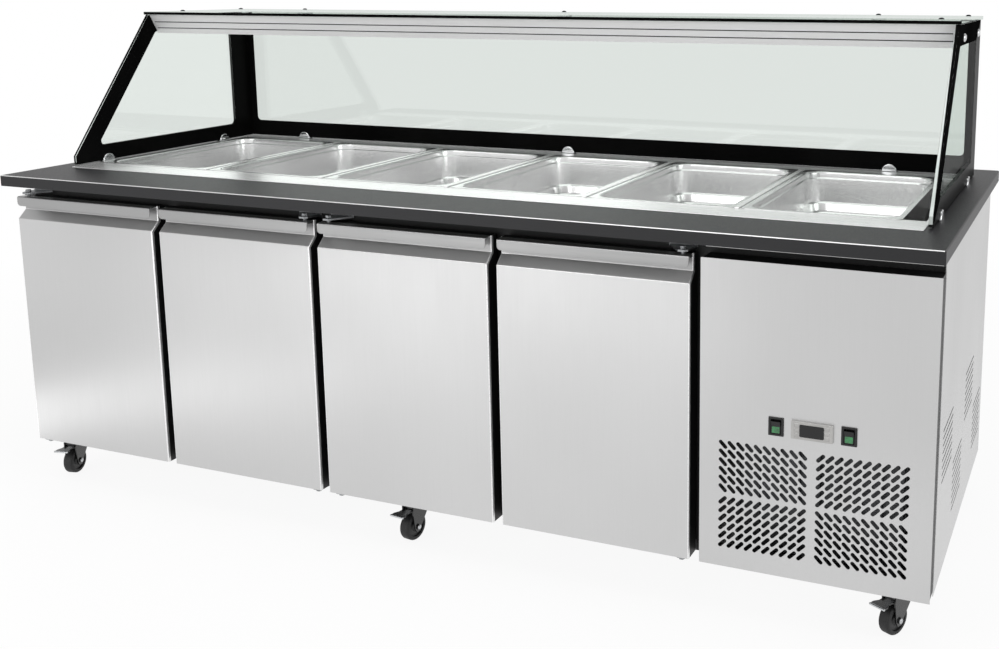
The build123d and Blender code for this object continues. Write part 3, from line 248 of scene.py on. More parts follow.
def rounded_rings(half_x: Array, half_y: Array, radius: Array, steps: int) -> Array:
    """Rounded rectangles, one for each level.

    Each corner's arc turns a quarter about a centre that lies one radius inside both edges.

    Args:
        half_x: Half width at each level.
        half_y: Half depth at each level.
        radius: Corner radius at each level.
        steps: Straight steps in each corner.

    Returns:
        Points of shape (levels, 4 * (steps + 1), 2).
    """
    turn = np.arange(4)[:, None] * pi / 2 + quarter_turn(steps + 1)[None, :]
    side_x = np.array([1, -1, -1, 1])[:, None]
    side_y = np.array([1, 1, -1, -1])[:, None]
    bend = radius[:, None, None]
    x = side_x * (half_x[:, None, None] - bend) + bend * np.cos(turn)
    y = side_y * (half_y[:, None, None] - bend) + bend * np.sin(turn)
    return np.stack([x, y], axis=-1).reshape(len(half_x), -1, 2)


def turned_grid(profile: Array, centre: Sequence, axis: Sequence, sides: int) -> Array:
    """Turns a profile of radius and height about an axis.

    A point at angle t lies at the centre, plus its height along the axis, plus its radius times the
    cosine and sine of t along two directions square to the axis.

    Args:
        profile: Points of shape (n, 2), radius first.
        centre: Point on the axis at height zero.
        axis: Direction of the axis.
        sides: Flats round the axis.

    Returns:
        Points of shape (n, sides, 3).
    """
    along = np.asarray(axis, float) / np.linalg.norm(axis)
    first = np.cross(along, RIGHT if abs(along[2]) > UPRIGHT_AXIS else UP)
    first /= np.linalg.norm(first)
    second = np.cross(along, first)
    turn = np.arange(sides) * 2 * pi / sides
    spoke = np.cos(turn)[:, None] * first + np.sin(turn)[:, None] * second
    return np.asarray(centre, float) + profile[:, None, 1:] * along + profile[:, None, :1] * spoke[None]


def dome_patches(centre: Sequence, axis: Sequence, size: Sequence, sides: int,
                 finish: int = 0) -> list[Patch]:
    """Domed head on a flat: a quarter-ellipse profile, radius times cosine against rise times sine.

    Args:
        centre: Middle of the flat.
        axis: Way that the head points.
        size: Radius and rise.
        sides: Flats round the axis.
        finish: Number of the finish.

    Returns:
        The head and its two caps.
    """
    swing = np.linspace(0, DOME_SWEEP, DOME_POINTS)
    profile = np.stack([size[0] * np.cos(swing), size[1] * np.sin(swing)], axis=-1)
    return tube_patches(turned_grid(profile, centre, axis, sides), finish)


def make_piece(name: str, patches: Sequence[Patch], finishes: Sequence["Surface"], body: str,
               replaces: Sequence[str] = (), crease: float = 32.0) -> None:
    """Joins patches into one piece with its doubles merged, its faces outwards and its soft edges smooth.

    Args:
        name: Name of the piece.
        patches: The surfaces.
        finishes: The finishes, by the numbers that the patches use.
        body: Body that the piece rides on.
        replaces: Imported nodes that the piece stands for.
        crease: Angle in degrees above which an edge stays sharp.
    """
    starts = np.cumsum([0] + [len(patch.points) for patch in patches])
    points = np.vstack([patch.points for patch in patches]) * MM
    faces: list[list[int]] = []
    marks: list[int] = []
    for patch, start in zip(patches, starts):
        for block in patch.faces:
            faces.extend((block + start).tolist())
            marks.extend([patch.finish] * len(block))
    mesh = bpy.data.meshes.new(name)
    mesh.from_pydata(points.tolist(), [], faces)
    mesh.polygons.foreach_set("material_index", marks)
    net = bmesh.new()
    net.from_mesh(mesh)
    bmesh.ops.remove_doubles(net, verts=net.verts, dist=MERGE * MM)
    loose = [vertex for vertex in net.verts if not vertex.link_faces]
    bmesh.ops.delete(net, geom=loose, context="VERTS")
    bmesh.ops.recalc_face_normals(net, faces=net.faces)
    net.to_mesh(mesh)
    net.free()
    mesh.polygons.foreach_set("use_smooth", [True] * len(mesh.polygons))
    mesh.set_sharp_from_angle(angle=radians(crease))
    for finish in finishes:
        mesh.materials.append(finish.material())
    piece = bpy.data.objects.new(name, mesh)
    bpy.context.scene.collection.objects.link(piece)
    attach(piece, body)
    if replaces:
        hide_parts(*replaces)
    LOG.info("piece %s rides on %s with %d faces", name, body, len(mesh.polygons))


# Finishes
NOISE_BAND = (0.3, 0.7)          # nearly all values of a noise lie between these
GRAIN_DETAIL = 3.0
COAT_ROUGHNESS = 0.06
GLASS_IOR = 1.5


class Grain(Enum):
    """Size in millimetres of a surface's grain along x, y and z, drawn coarse enough to show."""

    LEVEL = (120.0, 1.1, 1.1)
    UPRIGHT = (1.1, 1.1, 120.0)
    FINE = (1.0, 1.0, 1.0)
    PEEL = (2.6, 2.6, 2.6)


@dataclass(frozen=True)
class Surface:
    """What a piece wears: a material on Object coordinates, made once and given back afterwards."""

    name: str

    def material(self) -> bpy.types.Material:
        """Finds the material by its name, or makes it.

        Returns:
            The material.
        """
        material = bpy.data.materials.get(self.name)
        if material is None:
            material = bpy.data.materials.new(self.name)
            material.use_nodes = True
            tree = material.node_tree
            tree.nodes.clear()
            place = add_node(tree, "ShaderNodeTexCoord").outputs["Object"]
            shader = self.shader(tree, place)
            add_node(tree, "ShaderNodeOutputMaterial", {"Surface": shader.outputs[0]})
        return material

    def shader(self, tree: bpy.types.NodeTree, place: bpy.types.NodeSocket) -> bpy.types.Node:
        """Each kind of surface adds its own nodes."""
        raise NotImplementedError


@dataclass(frozen=True)
class Finish(Surface):
    """Opaque surface: two close shades in slow clouds, and a grain that moves its gloss and its relief."""

    deep: str
    pale: str
    metallic: float
    gloss: tuple[float, float]   # lowest and highest roughness
    grain: Grain
    relief: float                # depth of the grain in mm
    cloud: float                 # size of the slow patches in mm
    coat: float = 0.0
    shine: float = 0.5           # level of the mirror part of a surface that isn't metal

    def shader(self, tree: bpy.types.NodeTree, place: bpy.types.NodeSocket) -> bpy.types.Node:
        """Adds the clouds, the grain and the shader that they feed.

        Args:
            tree: The material's node tree.
            place: Object coordinates.

        Returns:
            The shader.
        """
        band = dict(zip(("From Min", "From Max"), NOISE_BAND))
        per_metre = tuple(1 / (size * MM) for size in self.grain.value)
        drawn = add_node(tree, "ShaderNodeMapping", {"Vector": place, "Scale": per_metre}).outputs["Vector"]
        grain = add_node(tree, "ShaderNodeTexNoise",
                         {"Vector": drawn, "Scale": 1.0, "Detail": GRAIN_DETAIL}).outputs["Fac"]
        cloud = add_node(tree, "ShaderNodeTexNoise", {"Vector": place, "Scale": 1 / (self.cloud * MM)})
        share = add_node(tree, "ShaderNodeMapRange",
                         {"Value": cloud.outputs["Fac"], **band}).outputs["Result"]
        colour = add_node(tree, "ShaderNodeMix", {0: share, 6: linear(self.deep), 7: linear(self.pale)},
                          data_type="RGBA").outputs[2]
        limits = dict(zip(("To Min", "To Max"), self.gloss))
        rough = add_node(tree, "ShaderNodeMapRange", {"Value": grain, **band, **limits}).outputs["Result"]
        relief = add_node(tree, "ShaderNodeBump",
                          {"Height": grain, "Strength": 1.0, "Distance": self.relief * MM})
        return add_node(tree, "ShaderNodeBsdfPrincipled",
                        {"Base Color": colour, "Metallic": self.metallic, "Roughness": rough,
                         "Normal": relief.outputs["Normal"], "Coat Weight": self.coat,
                         "Coat Roughness": COAT_ROUGHNESS, "Specular IOR Level": self.shine})


@dataclass(frozen=True)
class ClearGlass(Surface):
    """Toughened float glass: a faint green body and a clean gloss that grows towards a glancing look."""

    tint: str                    # what one face lets through
    wave: float = 240.0          # length in mm of the roller wave that toughening leaves
    wave_depth: float = 0.05
    most_gloss: float = 0.05     # an anti-glare coating holds the gloss down at a glancing look
    roughness: float = 0.02

    def shader(self, tree: bpy.types.NodeTree, place: bpy.types.NodeSocket) -> bpy.types.Node:
        """Adds the wave, the clear body and the gloss over it.

        Args:
            tree: The material's node tree.
            place: Object coordinates.

        Returns:
            The mix of body and gloss.
        """
        wave = add_node(tree, "ShaderNodeTexNoise", {"Vector": place, "Scale": 1 / (self.wave * MM)})
        relief = add_node(tree, "ShaderNodeBump", {"Height": wave.outputs["Fac"], "Strength": 1.0,
                                                   "Distance": self.wave_depth * MM})
        glance = add_node(tree, "ShaderNodeFresnel", {"IOR": GLASS_IOR}).outputs[0]
        share = add_node(tree, "ShaderNodeMath", {0: glance, 1: self.most_gloss},
                         operation="MINIMUM").outputs[0]
        through = add_node(tree, "ShaderNodeBsdfTransparent", {"Color": linear(self.tint)})
        gloss = add_node(tree, "ShaderNodeBsdfGlossy",
                         {"Color": linear("FFFFFF"), "Roughness": self.roughness,
                          "Normal": relief.outputs["Normal"]})
        return add_node(tree, "ShaderNodeMixShader", {0: share, 1: through.outputs[0], 2: gloss.outputs[0]})


@dataclass(frozen=True)
class FloorPaint(Surface):
    """Pale floor: mostly white where it is seen, with enough plain diffuse left to keep the shadow."""

    colour: str
    white: float                 # share of plain white under the counter
    fade: tuple[float, float]    # distances in mm between which that share grows to one

    def shader(self, tree: bpy.types.NodeTree, place: bpy.types.NodeSocket) -> bpy.types.Node:
        """Adds the plain paint and the white that takes over with distance.

        Args:
            tree: The material's node tree.
            place: Object coordinates.

        Returns:
            The mix of both.
        """
        far = add_node(tree, "ShaderNodeVectorMath", {0: place}, operation="LENGTH").outputs["Value"]
        share = add_node(tree, "ShaderNodeMapRange",
                         {"Value": far, "From Min": self.fade[0] * MM, "From Max": self.fade[1] * MM,
                          "To Min": self.white, "To Max": 1.0}).outputs["Result"]
        white = add_node(tree, "ShaderNodeMath", {0: share, 1: seen_rays(tree)},
                         operation="MULTIPLY").outputs[0]
        plain = add_node(tree, "ShaderNodeBsdfDiffuse", {"Color": linear(self.colour)})
        bright = add_node(tree, "ShaderNodeEmission", {"Color": linear("FFFFFF"), "Strength": 1.0})
        return add_node(tree, "ShaderNodeMixShader", {0: white, 1: plain.outputs[0], 2: bright.outputs[0]})


# Rolled stainless sheet, brushed: satin, with fine lines that draw each highlight out
SHEET_LEVEL = Finish("Brushed stainless sheet, level grain", "BEBEBE", "CCCCCC", 1.0, (0.34, 0.46),
                     Grain.LEVEL, 0.010, 700.0)
SHEET_UPRIGHT = Finish("Brushed stainless sheet, upright grain", "BEBEBE", "CCCCCC", 1.0, (0.34, 0.46),
                       Grain.UPRIGHT, 0.010, 700.0)
# The doors' sheet: the cabinet's brushed stainless painted lighter, as painted light where the doors stand
# brighter
LIT_DOOR_SHEET = Finish("Brushed stainless door sheet, painted lighter", "C4C4C4", "D0D0D0", 1.0, (0.34, 0.46), Grain.UPRIGHT,
                    0.010, 700.0)
# Brushed stainless painted darker for the lip and the back of the pull: painted shade under the lip and the
# worktop's overhang
PULL_SHADE_SHEET = Finish("Brushed stainless sheet, painted shade in the pull", "A0A0A0", "AEAEAE", 1.0, (0.36, 0.48), Grain.LEVEL,
                   0.010, 500.0)
# Deep-drawn stainless: smoother than the sheet, with faint draw marks and a soft gloss
DRAWN = Finish("Deep-drawn stainless", "DADADA", "E6E6E6", 1.0, (0.20, 0.30), Grain.FINE, 0.006, 180.0)
# Stainless strip with polished edges, as on the frame round the pans, painted near white with a diffuse share:
# partly its own bright polish, partly painted highlight on rims, door returns and the worktop bead
STRIP_WITH_HIGHLIGHT = Finish("Polished stainless strip, painted highlight", "ECECEC", "F4F4F4", 0.7, (0.26, 0.34), Grain.LEVEL, 0.001, 300.0)
# Steel pressings of the hinges, painted darker than the sheet as painted shade where they sit under the worktop
SHADED_HINGE_STEEL = Finish("Pressed steel, painted shade", "8E9092", "A4A6A8", 1.0, (0.40, 0.52), Grain.FINE, 0.012, 25.0)
# ABS moulded in a spark-eroded tool: nearly black with a soft broken sheen
ABS_BLACK = Finish("Moulded black ABS", "0B0B0C", "121213", 0.0, (0.42, 0.58), Grain.FINE, 0.030, 90.0)
# Powder coat on the worktop: dark grey, a low sheen and the slight orange peel of the cured film
COAT_DARK = Finish("Dark grey powder coat", "1D1D1F", "232325", 0.0, (0.42, 0.52), Grain.PEEL, 0.018, 420.0,
                   shine=0.36)
# Ceramic ink fired onto the glass: dense dull black
CERAMIC_INK = Finish("Black ceramic ink", "0A0A0A", "101010", 0.0, (0.50, 0.60), Grain.FINE, 0.002, 200.0,
                     shine=0.0)
# The same ink where it is smoother: black from the front, grey in a glancing look
SATIN_INK = Finish("Black ceramic ink, satin", "070707", "0B0B0B", 0.0, (0.32, 0.40), Grain.FINE, 0.002,
                   200.0, shine=0.02)
# Pale glossy colour on the side glasses' front edges: a painted highlight line
EDGE_HIGHLIGHT = Finish("Glass edge, painted highlight", "C9D2CD", "E3E9E6", 0.0, (0.16, 0.30), Grain.FINE, 0.010, 45.0,
                     coat=0.3)
# Zinc die casting, chromed: a bright mirror with slight ripples
CHROME = Finish("Chromed die casting", "C2C3C4", "CECFD0", 1.0, (0.06, 0.12), Grain.FINE, 0.004, 60.0)
# Screw heads, black-chromed: dark, with the gloss of the plating
SCREW_BLACK = Finish("Black-chromed steel", "2A2B2D", "38393B", 1.0, (0.18, 0.28), Grain.FINE, 0.004, 20.0)
# Extruded aluminium, satin anodised: pale and even, with the die lines along its length
ANODISED = Finish("Satin anodised aluminium", "F2F2F2", "F8F8F8", 0.25, (0.40, 0.50), Grain.LEVEL, 0.004,
                  400.0)
# Opal acrylic: milky, evenly lit, slightly frosted
OPAL = Finish("Opal acrylic", "E9E9E4", "F1F1ED", 0.0, (0.38, 0.48), Grain.FINE, 0.006, 120.0)
# Vulcanised rubber: dull black with a dusty bloom
RUBBER = Finish("Black rubber tyre", "0D0D0E", "151516", 0.0, (0.55, 0.72), Grain.FINE, 0.040, 40.0)
# Glass-filled nylon wheel centre: black and slightly grainy
NYLON = Finish("Black nylon wheel centre", "0E0E0F", "171718", 0.0, (0.38, 0.52), Grain.FINE, 0.025, 40.0)
# Pressed steel, stove-enamelled black: smooth with bright edges
ENAMEL = Finish("Black enamelled steel", "0B0B0C", "121213", 0.0, (0.22, 0.32), Grain.PEEL, 0.008, 60.0,
                coat=0.4)
# Steel, zinc plated and passivated: grey-white with a faint bloom
ZINC = Finish("Zinc-plated steel", "B4B6B8", "CACCCE", 1.0, (0.24, 0.36), Grain.FINE, 0.008, 30.0)
# Tinted polycarbonate lens over a lamp: deep clear green under a hard gloss
GREEN_LENS = Finish("Green polycarbonate lens", "0E5A2C", "1F8A48", 0.0, (0.12, 0.20), Grain.FINE, 0.006, 9.0,
                    coat=1.0)
# Aluminium fins on copper tube: grey with fine upright lines
FINS = Finish("Aluminium fin block", "4A4B4D", "68696B", 1.0, (0.40, 0.60), Grain.UPRIGHT, 0.200, 40.0)
# Painted ABS bezel: silver flake under a satin lacquer
SILVER_PAINT = Finish("Silver-painted ABS", "A9A8A6", "BAB9B7", 0.5, (0.30, 0.40), Grain.FINE, 0.010, 50.0,
                      coat=0.2)
# Tinted acrylic window: black until its display is lit, and glossy
WINDOW = Finish("Smoked acrylic window", "050608", "0A0B0D", 0.0, (0.06, 0.12), Grain.FINE, 0.002, 30.0,
                coat=0.4, shine=0.3)
# Matt black strips in the light rail's grooves: painted shade where the grooves fall dark
GROOVE_SHADE = Finish("Black groove fill, painted shade", "1A1A1B", "242425", 0.0, (0.60, 0.72), Grain.FINE, 0.020, 30.0)
# Float glass: clear with a green cast, stronger in the wide back and top panes than in the ends
FLOAT_GLASS = ClearGlass("Toughened float glass", "EDF0EE")
END_GLASS = ClearGlass("Toughened float glass, ends", "F1F4F2")
# Studio floor, rolled with matt emulsion: near white, with a soft shadow
FLOOR_PAINT = FloorPaint("Pale painted floor", "F4F4F4", 0.90, (1400.0, 3400.0))

SLOT_FINISHES: dict[str, Surface] = {
    "stainless_steel": SHEET_LEVEL, "black_moulding": ABS_BLACK, "worktop": COAT_DARK, "glass": FLOAT_GLASS,
    "chrome": CHROME, "aluminium": ANODISED, "diffuser": OPAL, "wheel": RUBBER, "black_steel": ENAMEL,
    "plated_steel": ZINC, "green_rocker": GREEN_LENS, "coil": FINS, "controller": SILVER_PAINT,
}
NODE_FINISHES: dict[str, Surface] = {
    "pan_frame": STRIP_WITH_HIGHLIGHT, "pan_dividers": STRIP_WITH_HIGHLIGHT, "machine_side_panel": SHEET_UPRIGHT,
    "left_end_panel": SHEET_UPRIGHT, "hinge_brackets": SHADED_HINGE_STEEL, "left_glass": END_GLASS,
    "right_glass": END_GLASS, "left_rocker": ABS_BLACK, "right_rocker": ABS_BLACK,
}
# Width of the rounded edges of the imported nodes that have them
EDGES: dict[str, float] = {
    "pan_frame": 0.5, "pan_dividers": 1.2, "worktop": 0.8, "hinge_brackets": 0.6,
    "switch_bezels": 0.9, "temperature_controller": 0.8, "left_rocker": 0.8, "right_rocker": 0.8,
    "castor_plates": 0.6, "cabinet_base": 1.0, "left_end_panel": 1.2, "cabinet_back": 1.0, "front_frame": 1.0,
}
CASTOR_EDGE = 0.5


@dataclass
class Carcass:
    """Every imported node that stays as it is: its finish, and edges that catch the light."""

    edge_angle: float = 40.0
    edge_segments: int = 2
    weld: float = 0.01

    def build(self) -> None:
        """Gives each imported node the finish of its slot, or its own."""
        for name, node in frame["nodes"].items():
            finish = NODE_FINISHES.get(name, SLOT_FINISHES[SLOTS[name]])
            node.data.materials.clear()
            node.data.materials.append(finish.material())
            width = EDGES.get(name, CASTOR_EDGE if name.startswith("castor") else 0.0)
            if width:
                self.soften(node, width)
            LOG.info("node %s wears %s", name, finish.name)

    def soften(self, node: bpy.types.Object, width: float) -> None:
        """Merges a node's loose triangles and rounds its sharp edges, both as live modifiers.

        Args:
            node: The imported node.
            width: Width of the rounded edges.
        """
        weld = node.modifiers.new("weld", "WELD")
        weld.merge_threshold = self.weld * MM
        edge = node.modifiers.new("edge", "BEVEL")
        edge.width = width * MM
        edge.segments = self.edge_segments
        edge.limit_method = "ANGLE"
        edge.angle_limit = radians(self.edge_angle)


@dataclass
class DoorSkins:
    """Folded door skins: a flat face, a slant into the pull, and a lip with rounded lower corners."""

    doors: int = 4
    sheet: float = 1.5
    slant_foot: float = 54.0     # this and the next two lie below the top edge
    slant_head: float = 34.0
    lip: float = 23.0
    recess: float = 22.0         # depth of the pull behind the face
    corner: float = 8.0          # at both ends of the lip
    corner_points: int = 7
    outer_bend: float = 4.0
    inner_bend: float = 2.5
    plate: tuple[float, float] = (45.0, 4.0)             # width and thickness of the hinge plate
    plate_edges: tuple[float, ...] = (0.8, 0.8, 0.2, 0.2)
    return_depth: float = 7.0    # flange folded back at each end, in the near-white strip finish as a painted highlight line
    return_sheet: float = 0.6
    end_bend: float = 2.5
    end_points: int = 6
    end_proud: float = 0.3       # flange beyond the side of the core
    bends: int = 12              # corners of the section
    lip_edge: tuple[int, int] = (5, 7)                   # those at the lip's lower edge
    pull_bends: tuple[int, int] = (3, 8)                 # those from the back of the pull to the lip's top, which wear the darker sheet of painted shade
    crease: float = 40.0

    def build(self) -> None:
        """Makes the four skins with their hinge plates and their return flanges."""
        for number in range(1, self.doors + 1):
            low, high = extent(f"door_{number}_skin")
            patches = self.folded_sheet(low, high) + self.hinge_plate(number, low, high)
            make_piece(f"door_{number}_folded_skin", patches, [LIT_DOOR_SHEET, PULL_SHADE_SHEET], f"door_{number}",
                       [f"door_{number}_skin"], self.crease)
            make_piece(f"door_{number}_end_returns", self.end_returns(low, high), [STRIP_WITH_HIGHLIGHT], f"door_{number}")

    def section(self, front: float, top: float, foot: float) -> Array:
        """Section of the folded sheet: outside up to the lip's edge and back down inside it.

        Args:
            front: Y of the face.
            top: Z of the top edge.
            foot: Z of the bottom edge.

        Returns:
            Closed outline in y and z.
        """
        inside = front + self.sheet
        pull = front + self.recess
        low, high = top - self.slant_foot, top - self.slant_head
        lose = self.sheet * tan(np.arctan2(self.recess, self.slant_foot - self.slant_head) / 2)
        under = top - self.sheet
        edge = top - self.lip
        corners = [(front, foot), (front, low), (pull, high), (pull, under), (inside, under), (inside, edge),
                   (front, edge), (front, top), (pull + self.sheet, top), (pull + self.sheet, high - lose),
                   (inside, low - lose), (inside, foot)]
        wide, tight, rim = self.outer_bend, self.inner_bend, SHEET_EDGE * self.sheet
        radii = [rim, wide, tight, tight, tight, rim, rim, wide, wide, wide, tight, rim]
        return rounded_outline(corners, radii)

    def folded_sheet(self, low: Array, high: Array) -> list[Patch]:
        """Carries the section from end to end, with the corners of the lip rounded.

        At angle t of a quarter circle a station lies the corner's radius times one minus the cosine of t
        from the end, and the lip's edge rises there by the radius times one minus the sine of t.

        Args:
            low: Lowest corner of the skin.
            high: Highest corner of the skin.

        Returns:
            The pull with the lip in the darker sheet of painted shade, the rest of the sheet, and both ends.
        """
        section = self.section(low[1], high[2], low[2])
        points = len(section) // self.bends
        lift = np.zeros((len(section), 1))
        lift[self.lip_edge[0] * points:self.lip_edge[1] * points] = 1.0
        swing = quarter_turn(self.corner_points)
        inset = self.corner * (1 - np.cos(swing)) + self.end_bend - self.end_proud
        rise = self.corner * (1 - np.sin(swing))
        stations = np.concatenate([low[0] + inset, high[0] - inset[::-1]])
        grid = np.empty((len(section), len(stations), 3))
        grid[..., 0] = stations
        grid[..., 1] = section[:, :1]
        grid[..., 2] = section[:, 1:] + lift * np.concatenate([rise, rise[::-1]])
        start, end = self.pull_bends[0] * points, self.pull_bends[1] * points
        rest = np.vstack([grid[end - 1:], grid[:start]])
        # The pull and the lip wear the darker sheet: painted shade under the lip and the worktop
        return [grid_patch(grid[start - 1:end], finish=1), grid_patch(rest), cap_patch(grid[:, 0]),
                cap_patch(grid[:, -1])]

    def hinge_plate(self, number: int, low: Array, high: Array) -> list[Patch]:
        """Plate welded under the top of the pull, at the end where the door hangs.

        Args:
            number: Number of the door.
            low: Lowest corner of the skin.
            high: Highest corner of the skin.

        Returns:
            The plate.
        """
        width, thickness = self.plate
        hinge = JOINTS[f"door_{number}_hinge"]["pos_m"][0] / MM
        at_left = hinge < (low[0] + high[0]) / 2
        left = low[0] + self.sheet if at_left else high[0] - self.sheet - width
        top = high[2] - self.sheet
        outline = rounded_box((low[1] + self.sheet, top - thickness), (low[1] + self.recess, top),
                              self.plate_edges, steps=3)
        return bar_patches(outline, left, left + width)

    def end_returns(self, low: Array, high: Array) -> list[Patch]:
        """Return flanges at both ends of a skin, near white as a painted highlight line along each door edge.

        The section is a quarter circle from the face to the end, a straight leg back, and the same set in by
        the sheet. It follows the face, the slant and the back of the pull. Each bend of that line moves a
        point at depth d by d along the sum of both normals over one plus their product.

        Args:
            low: Lowest corner of the skin.
            high: Highest corner of the skin.

        Returns:
            Both flanges.
        """
        front, pull, top = low[1], low[1] + self.recess, high[2]
        line = np.array([(front, low[2]), (front, top - self.slant_foot), (pull, top - self.slant_head),
                         (pull, top)])
        along = np.diff(line, axis=0)
        along /= np.linalg.norm(along, axis=1, keepdims=True)
        inward = np.stack([along[:, 1], -along[:, 0]], axis=-1)
        before, after = np.vstack([inward[:1], inward]), np.vstack([inward, inward[-1:]])
        offset = (before + after) / (1 + (before * after).sum(axis=1, keepdims=True))
        swing, bend, sheet = quarter_turn(self.end_points), self.end_bend, self.return_sheet
        outer = np.stack([bend * np.sin(swing) - bend, bend * (1 - np.cos(swing))], axis=-1)
        section = np.vstack([outer, [(0, self.return_depth), (-sheet, self.return_depth), (-sheet, bend),
                                     (-bend, sheet)]])
        patches: list[Patch] = []
        for side, x in ((-1, low[0]), (1, high[0])):
            grid = np.empty((len(line), len(section), 3))
            grid[..., 0] = x + side * (section[:, 0] + self.end_proud)
            grid[..., 1:] = line[:, None] + section[None, :, 1:] * offset[:, None]
            patches += tube_patches(grid)
        return patches


@dataclass
class GrillePanel:
    """Machine front panel: four fields of round-ended slots that all point towards the middle."""

    columns: int = 10
    rows: int = 6
    pitch: tuple[float, float] = (17.3, 17.6)
    slot: tuple[float, float] = (21.0, 7.8)
    lean: float = pi / 4
    field_offset: tuple[float, float] = (94.8, 56.4)
    shift: float = -2.5                    # middle of the grille from the middle of the panel
    grille_height: float = 148.5           # centre of the grille above the panel's foot
    controls_height: float = 299.5
    controller_cut: tuple[float, float] = (71.0, 29.0)
    switch_cut: tuple[float, float] = (24.0, 30.0)
    switch_spread: float = 69.0
    ring: int = 16                         # points round each slot
    decimals: int = 4                      # grid lines that agree to this many decimals are one
    touch: float = 1e-3                    # a grid line this close to an edge lies on it

    def build(self) -> None:
        """Makes the panel: slotted cells, the plain sheet between them, and the cut edges."""
        low, high = extent("machine_front_panel")
        middle = (low[0] + high[0]) / 2 + self.shift
        cells, leans, fields = self.fields(np.array([middle, low[2] + self.grille_height]))
        rising = self.slot_ring()
        falling = np.roll(np.stack([-rising[:, 1], rising[:, 0]], axis=-1), self.ring // 4, axis=0)
        edges = cells[:, None] + self.cell_ring()[None]
        slots = cells[:, None] + np.where(leans[:, None, None] > 0, rising[None], falling[None])
        front, back = low[1], high[1]
        grid = np.stack([self.lift(edges, front), self.lift(slots, front), self.lift(slots, back),
                         self.lift(edges, back)])
        height = low[2] + self.controls_height
        cuts = [(middle, height, *self.controller_cut)]
        cuts += [(middle + side * self.switch_spread, height, *self.switch_cut) for side in (-1, 1)]
        field_size = (self.columns * self.pitch[0], self.rows * self.pitch[1])
        holes = self.limits([(*field, *field_size) for field in fields])
        patches = [self.rings(grid)] + self.plain_sheet(low, high, edges, holes, self.limits(cuts))
        make_piece("machine_panel_punched", patches, [SHEET_UPRIGHT], "cabinet",
                   ["machine_front_panel"])

    def limits(self, boxes: Sequence) -> list[tuple[float, float, float, float]]:
        """Left, right, bottom and top of boxes that are given by their middle, width and height."""
        return [(x - w / 2, x + w / 2, z - h / 2, z + h / 2) for x, z, w, h in boxes]

    def lift(self, flat: Array, depth: float) -> Array:
        """Puts x and z points on the plane at a depth."""
        return np.stack([flat[..., 0], np.full(flat.shape[:-1], depth), flat[..., 1]], axis=-1)

    def slot_ring(self) -> Array:
        """Outline of one slot that rises to the right: two half circles, apart by the slot's straight length.

        Returns:
            Points in x and z about the slot's middle.
        """
        reach, radius = (self.slot[0] - self.slot[1]) / 2, self.slot[1] / 2
        turn = np.linspace(-pi / 2, pi / 2, self.ring // 2) + self.lean
        end = np.stack([np.cos(turn), np.sin(turn)], axis=-1) * radius
        end += reach * np.array([cos(self.lean), sin(self.lean)])
        return np.vstack([end, -end])

    def cell_ring(self) -> Array:
        """Edge of one cell from its lower right corner: four corners with evenly spread points between them.

        Returns:
            As many points in x and z as the slot has, about the cell's middle.
        """
        share = np.arange(self.ring // 4) / (self.ring // 4)
        x, z = self.pitch[0] / 2, self.pitch[1] / 2
        corners = np.array([(x, -z), (x, z), (-x, z), (-x, -z)])
        ahead = np.roll(corners, -1, axis=0)
        return (corners[:, None] + share[None, :, None] * (ahead - corners)[:, None]).reshape(-1, 2)

    def fields(self, centre: Array) -> tuple[Array, Array, Array]:
        """Cells of the four fields.

        Args:
            centre: Middle of the grille in x and z.

        Returns:
            Centres of the cells, the lean of each slot (1 rises to the right), and the fields' centres.
        """
        side = np.array([(-1, 1), (1, 1), (-1, -1), (1, -1)], float)
        middles = centre + side * self.field_offset
        across = (np.arange(self.columns) - (self.columns - 1) / 2) * self.pitch[0]
        up = (np.arange(self.rows) - (self.rows - 1) / 2) * self.pitch[1]
        cells = np.stack(np.meshgrid(across, up, indexing="ij"), axis=-1).reshape(-1, 2)
        leans = np.repeat(side[:, 0] * side[:, 1], len(cells))
        return (middles[:, None] + cells[None]).reshape(-1, 2), leans, middles

    def rings(self, grid: Array) -> Patch:
        """Bands of quads between four rings of each cell: sheet in front, the slot's wall, sheet behind.

        Args:
            grid: Points of shape (rings, cells, points, 3).

        Returns:
            The bands of all cells.
        """
        levels, count, ring = grid.shape[:3]
        index = np.arange(levels * count * ring).reshape(levels, count, ring)
        ahead = np.roll(index, -1, axis=2)
        quads = np.stack([index[:-1], ahead[:-1], ahead[1:], index[1:]], axis=-1).reshape(-1, 4)
        return Patch(grid.reshape(-1, 3), [quads])

    def grid_lines(self, *values: Array) -> Array:
        """Values in order, each kept once."""
        return np.unique(np.round(np.concatenate([np.ravel(value) for value in values]), self.decimals))

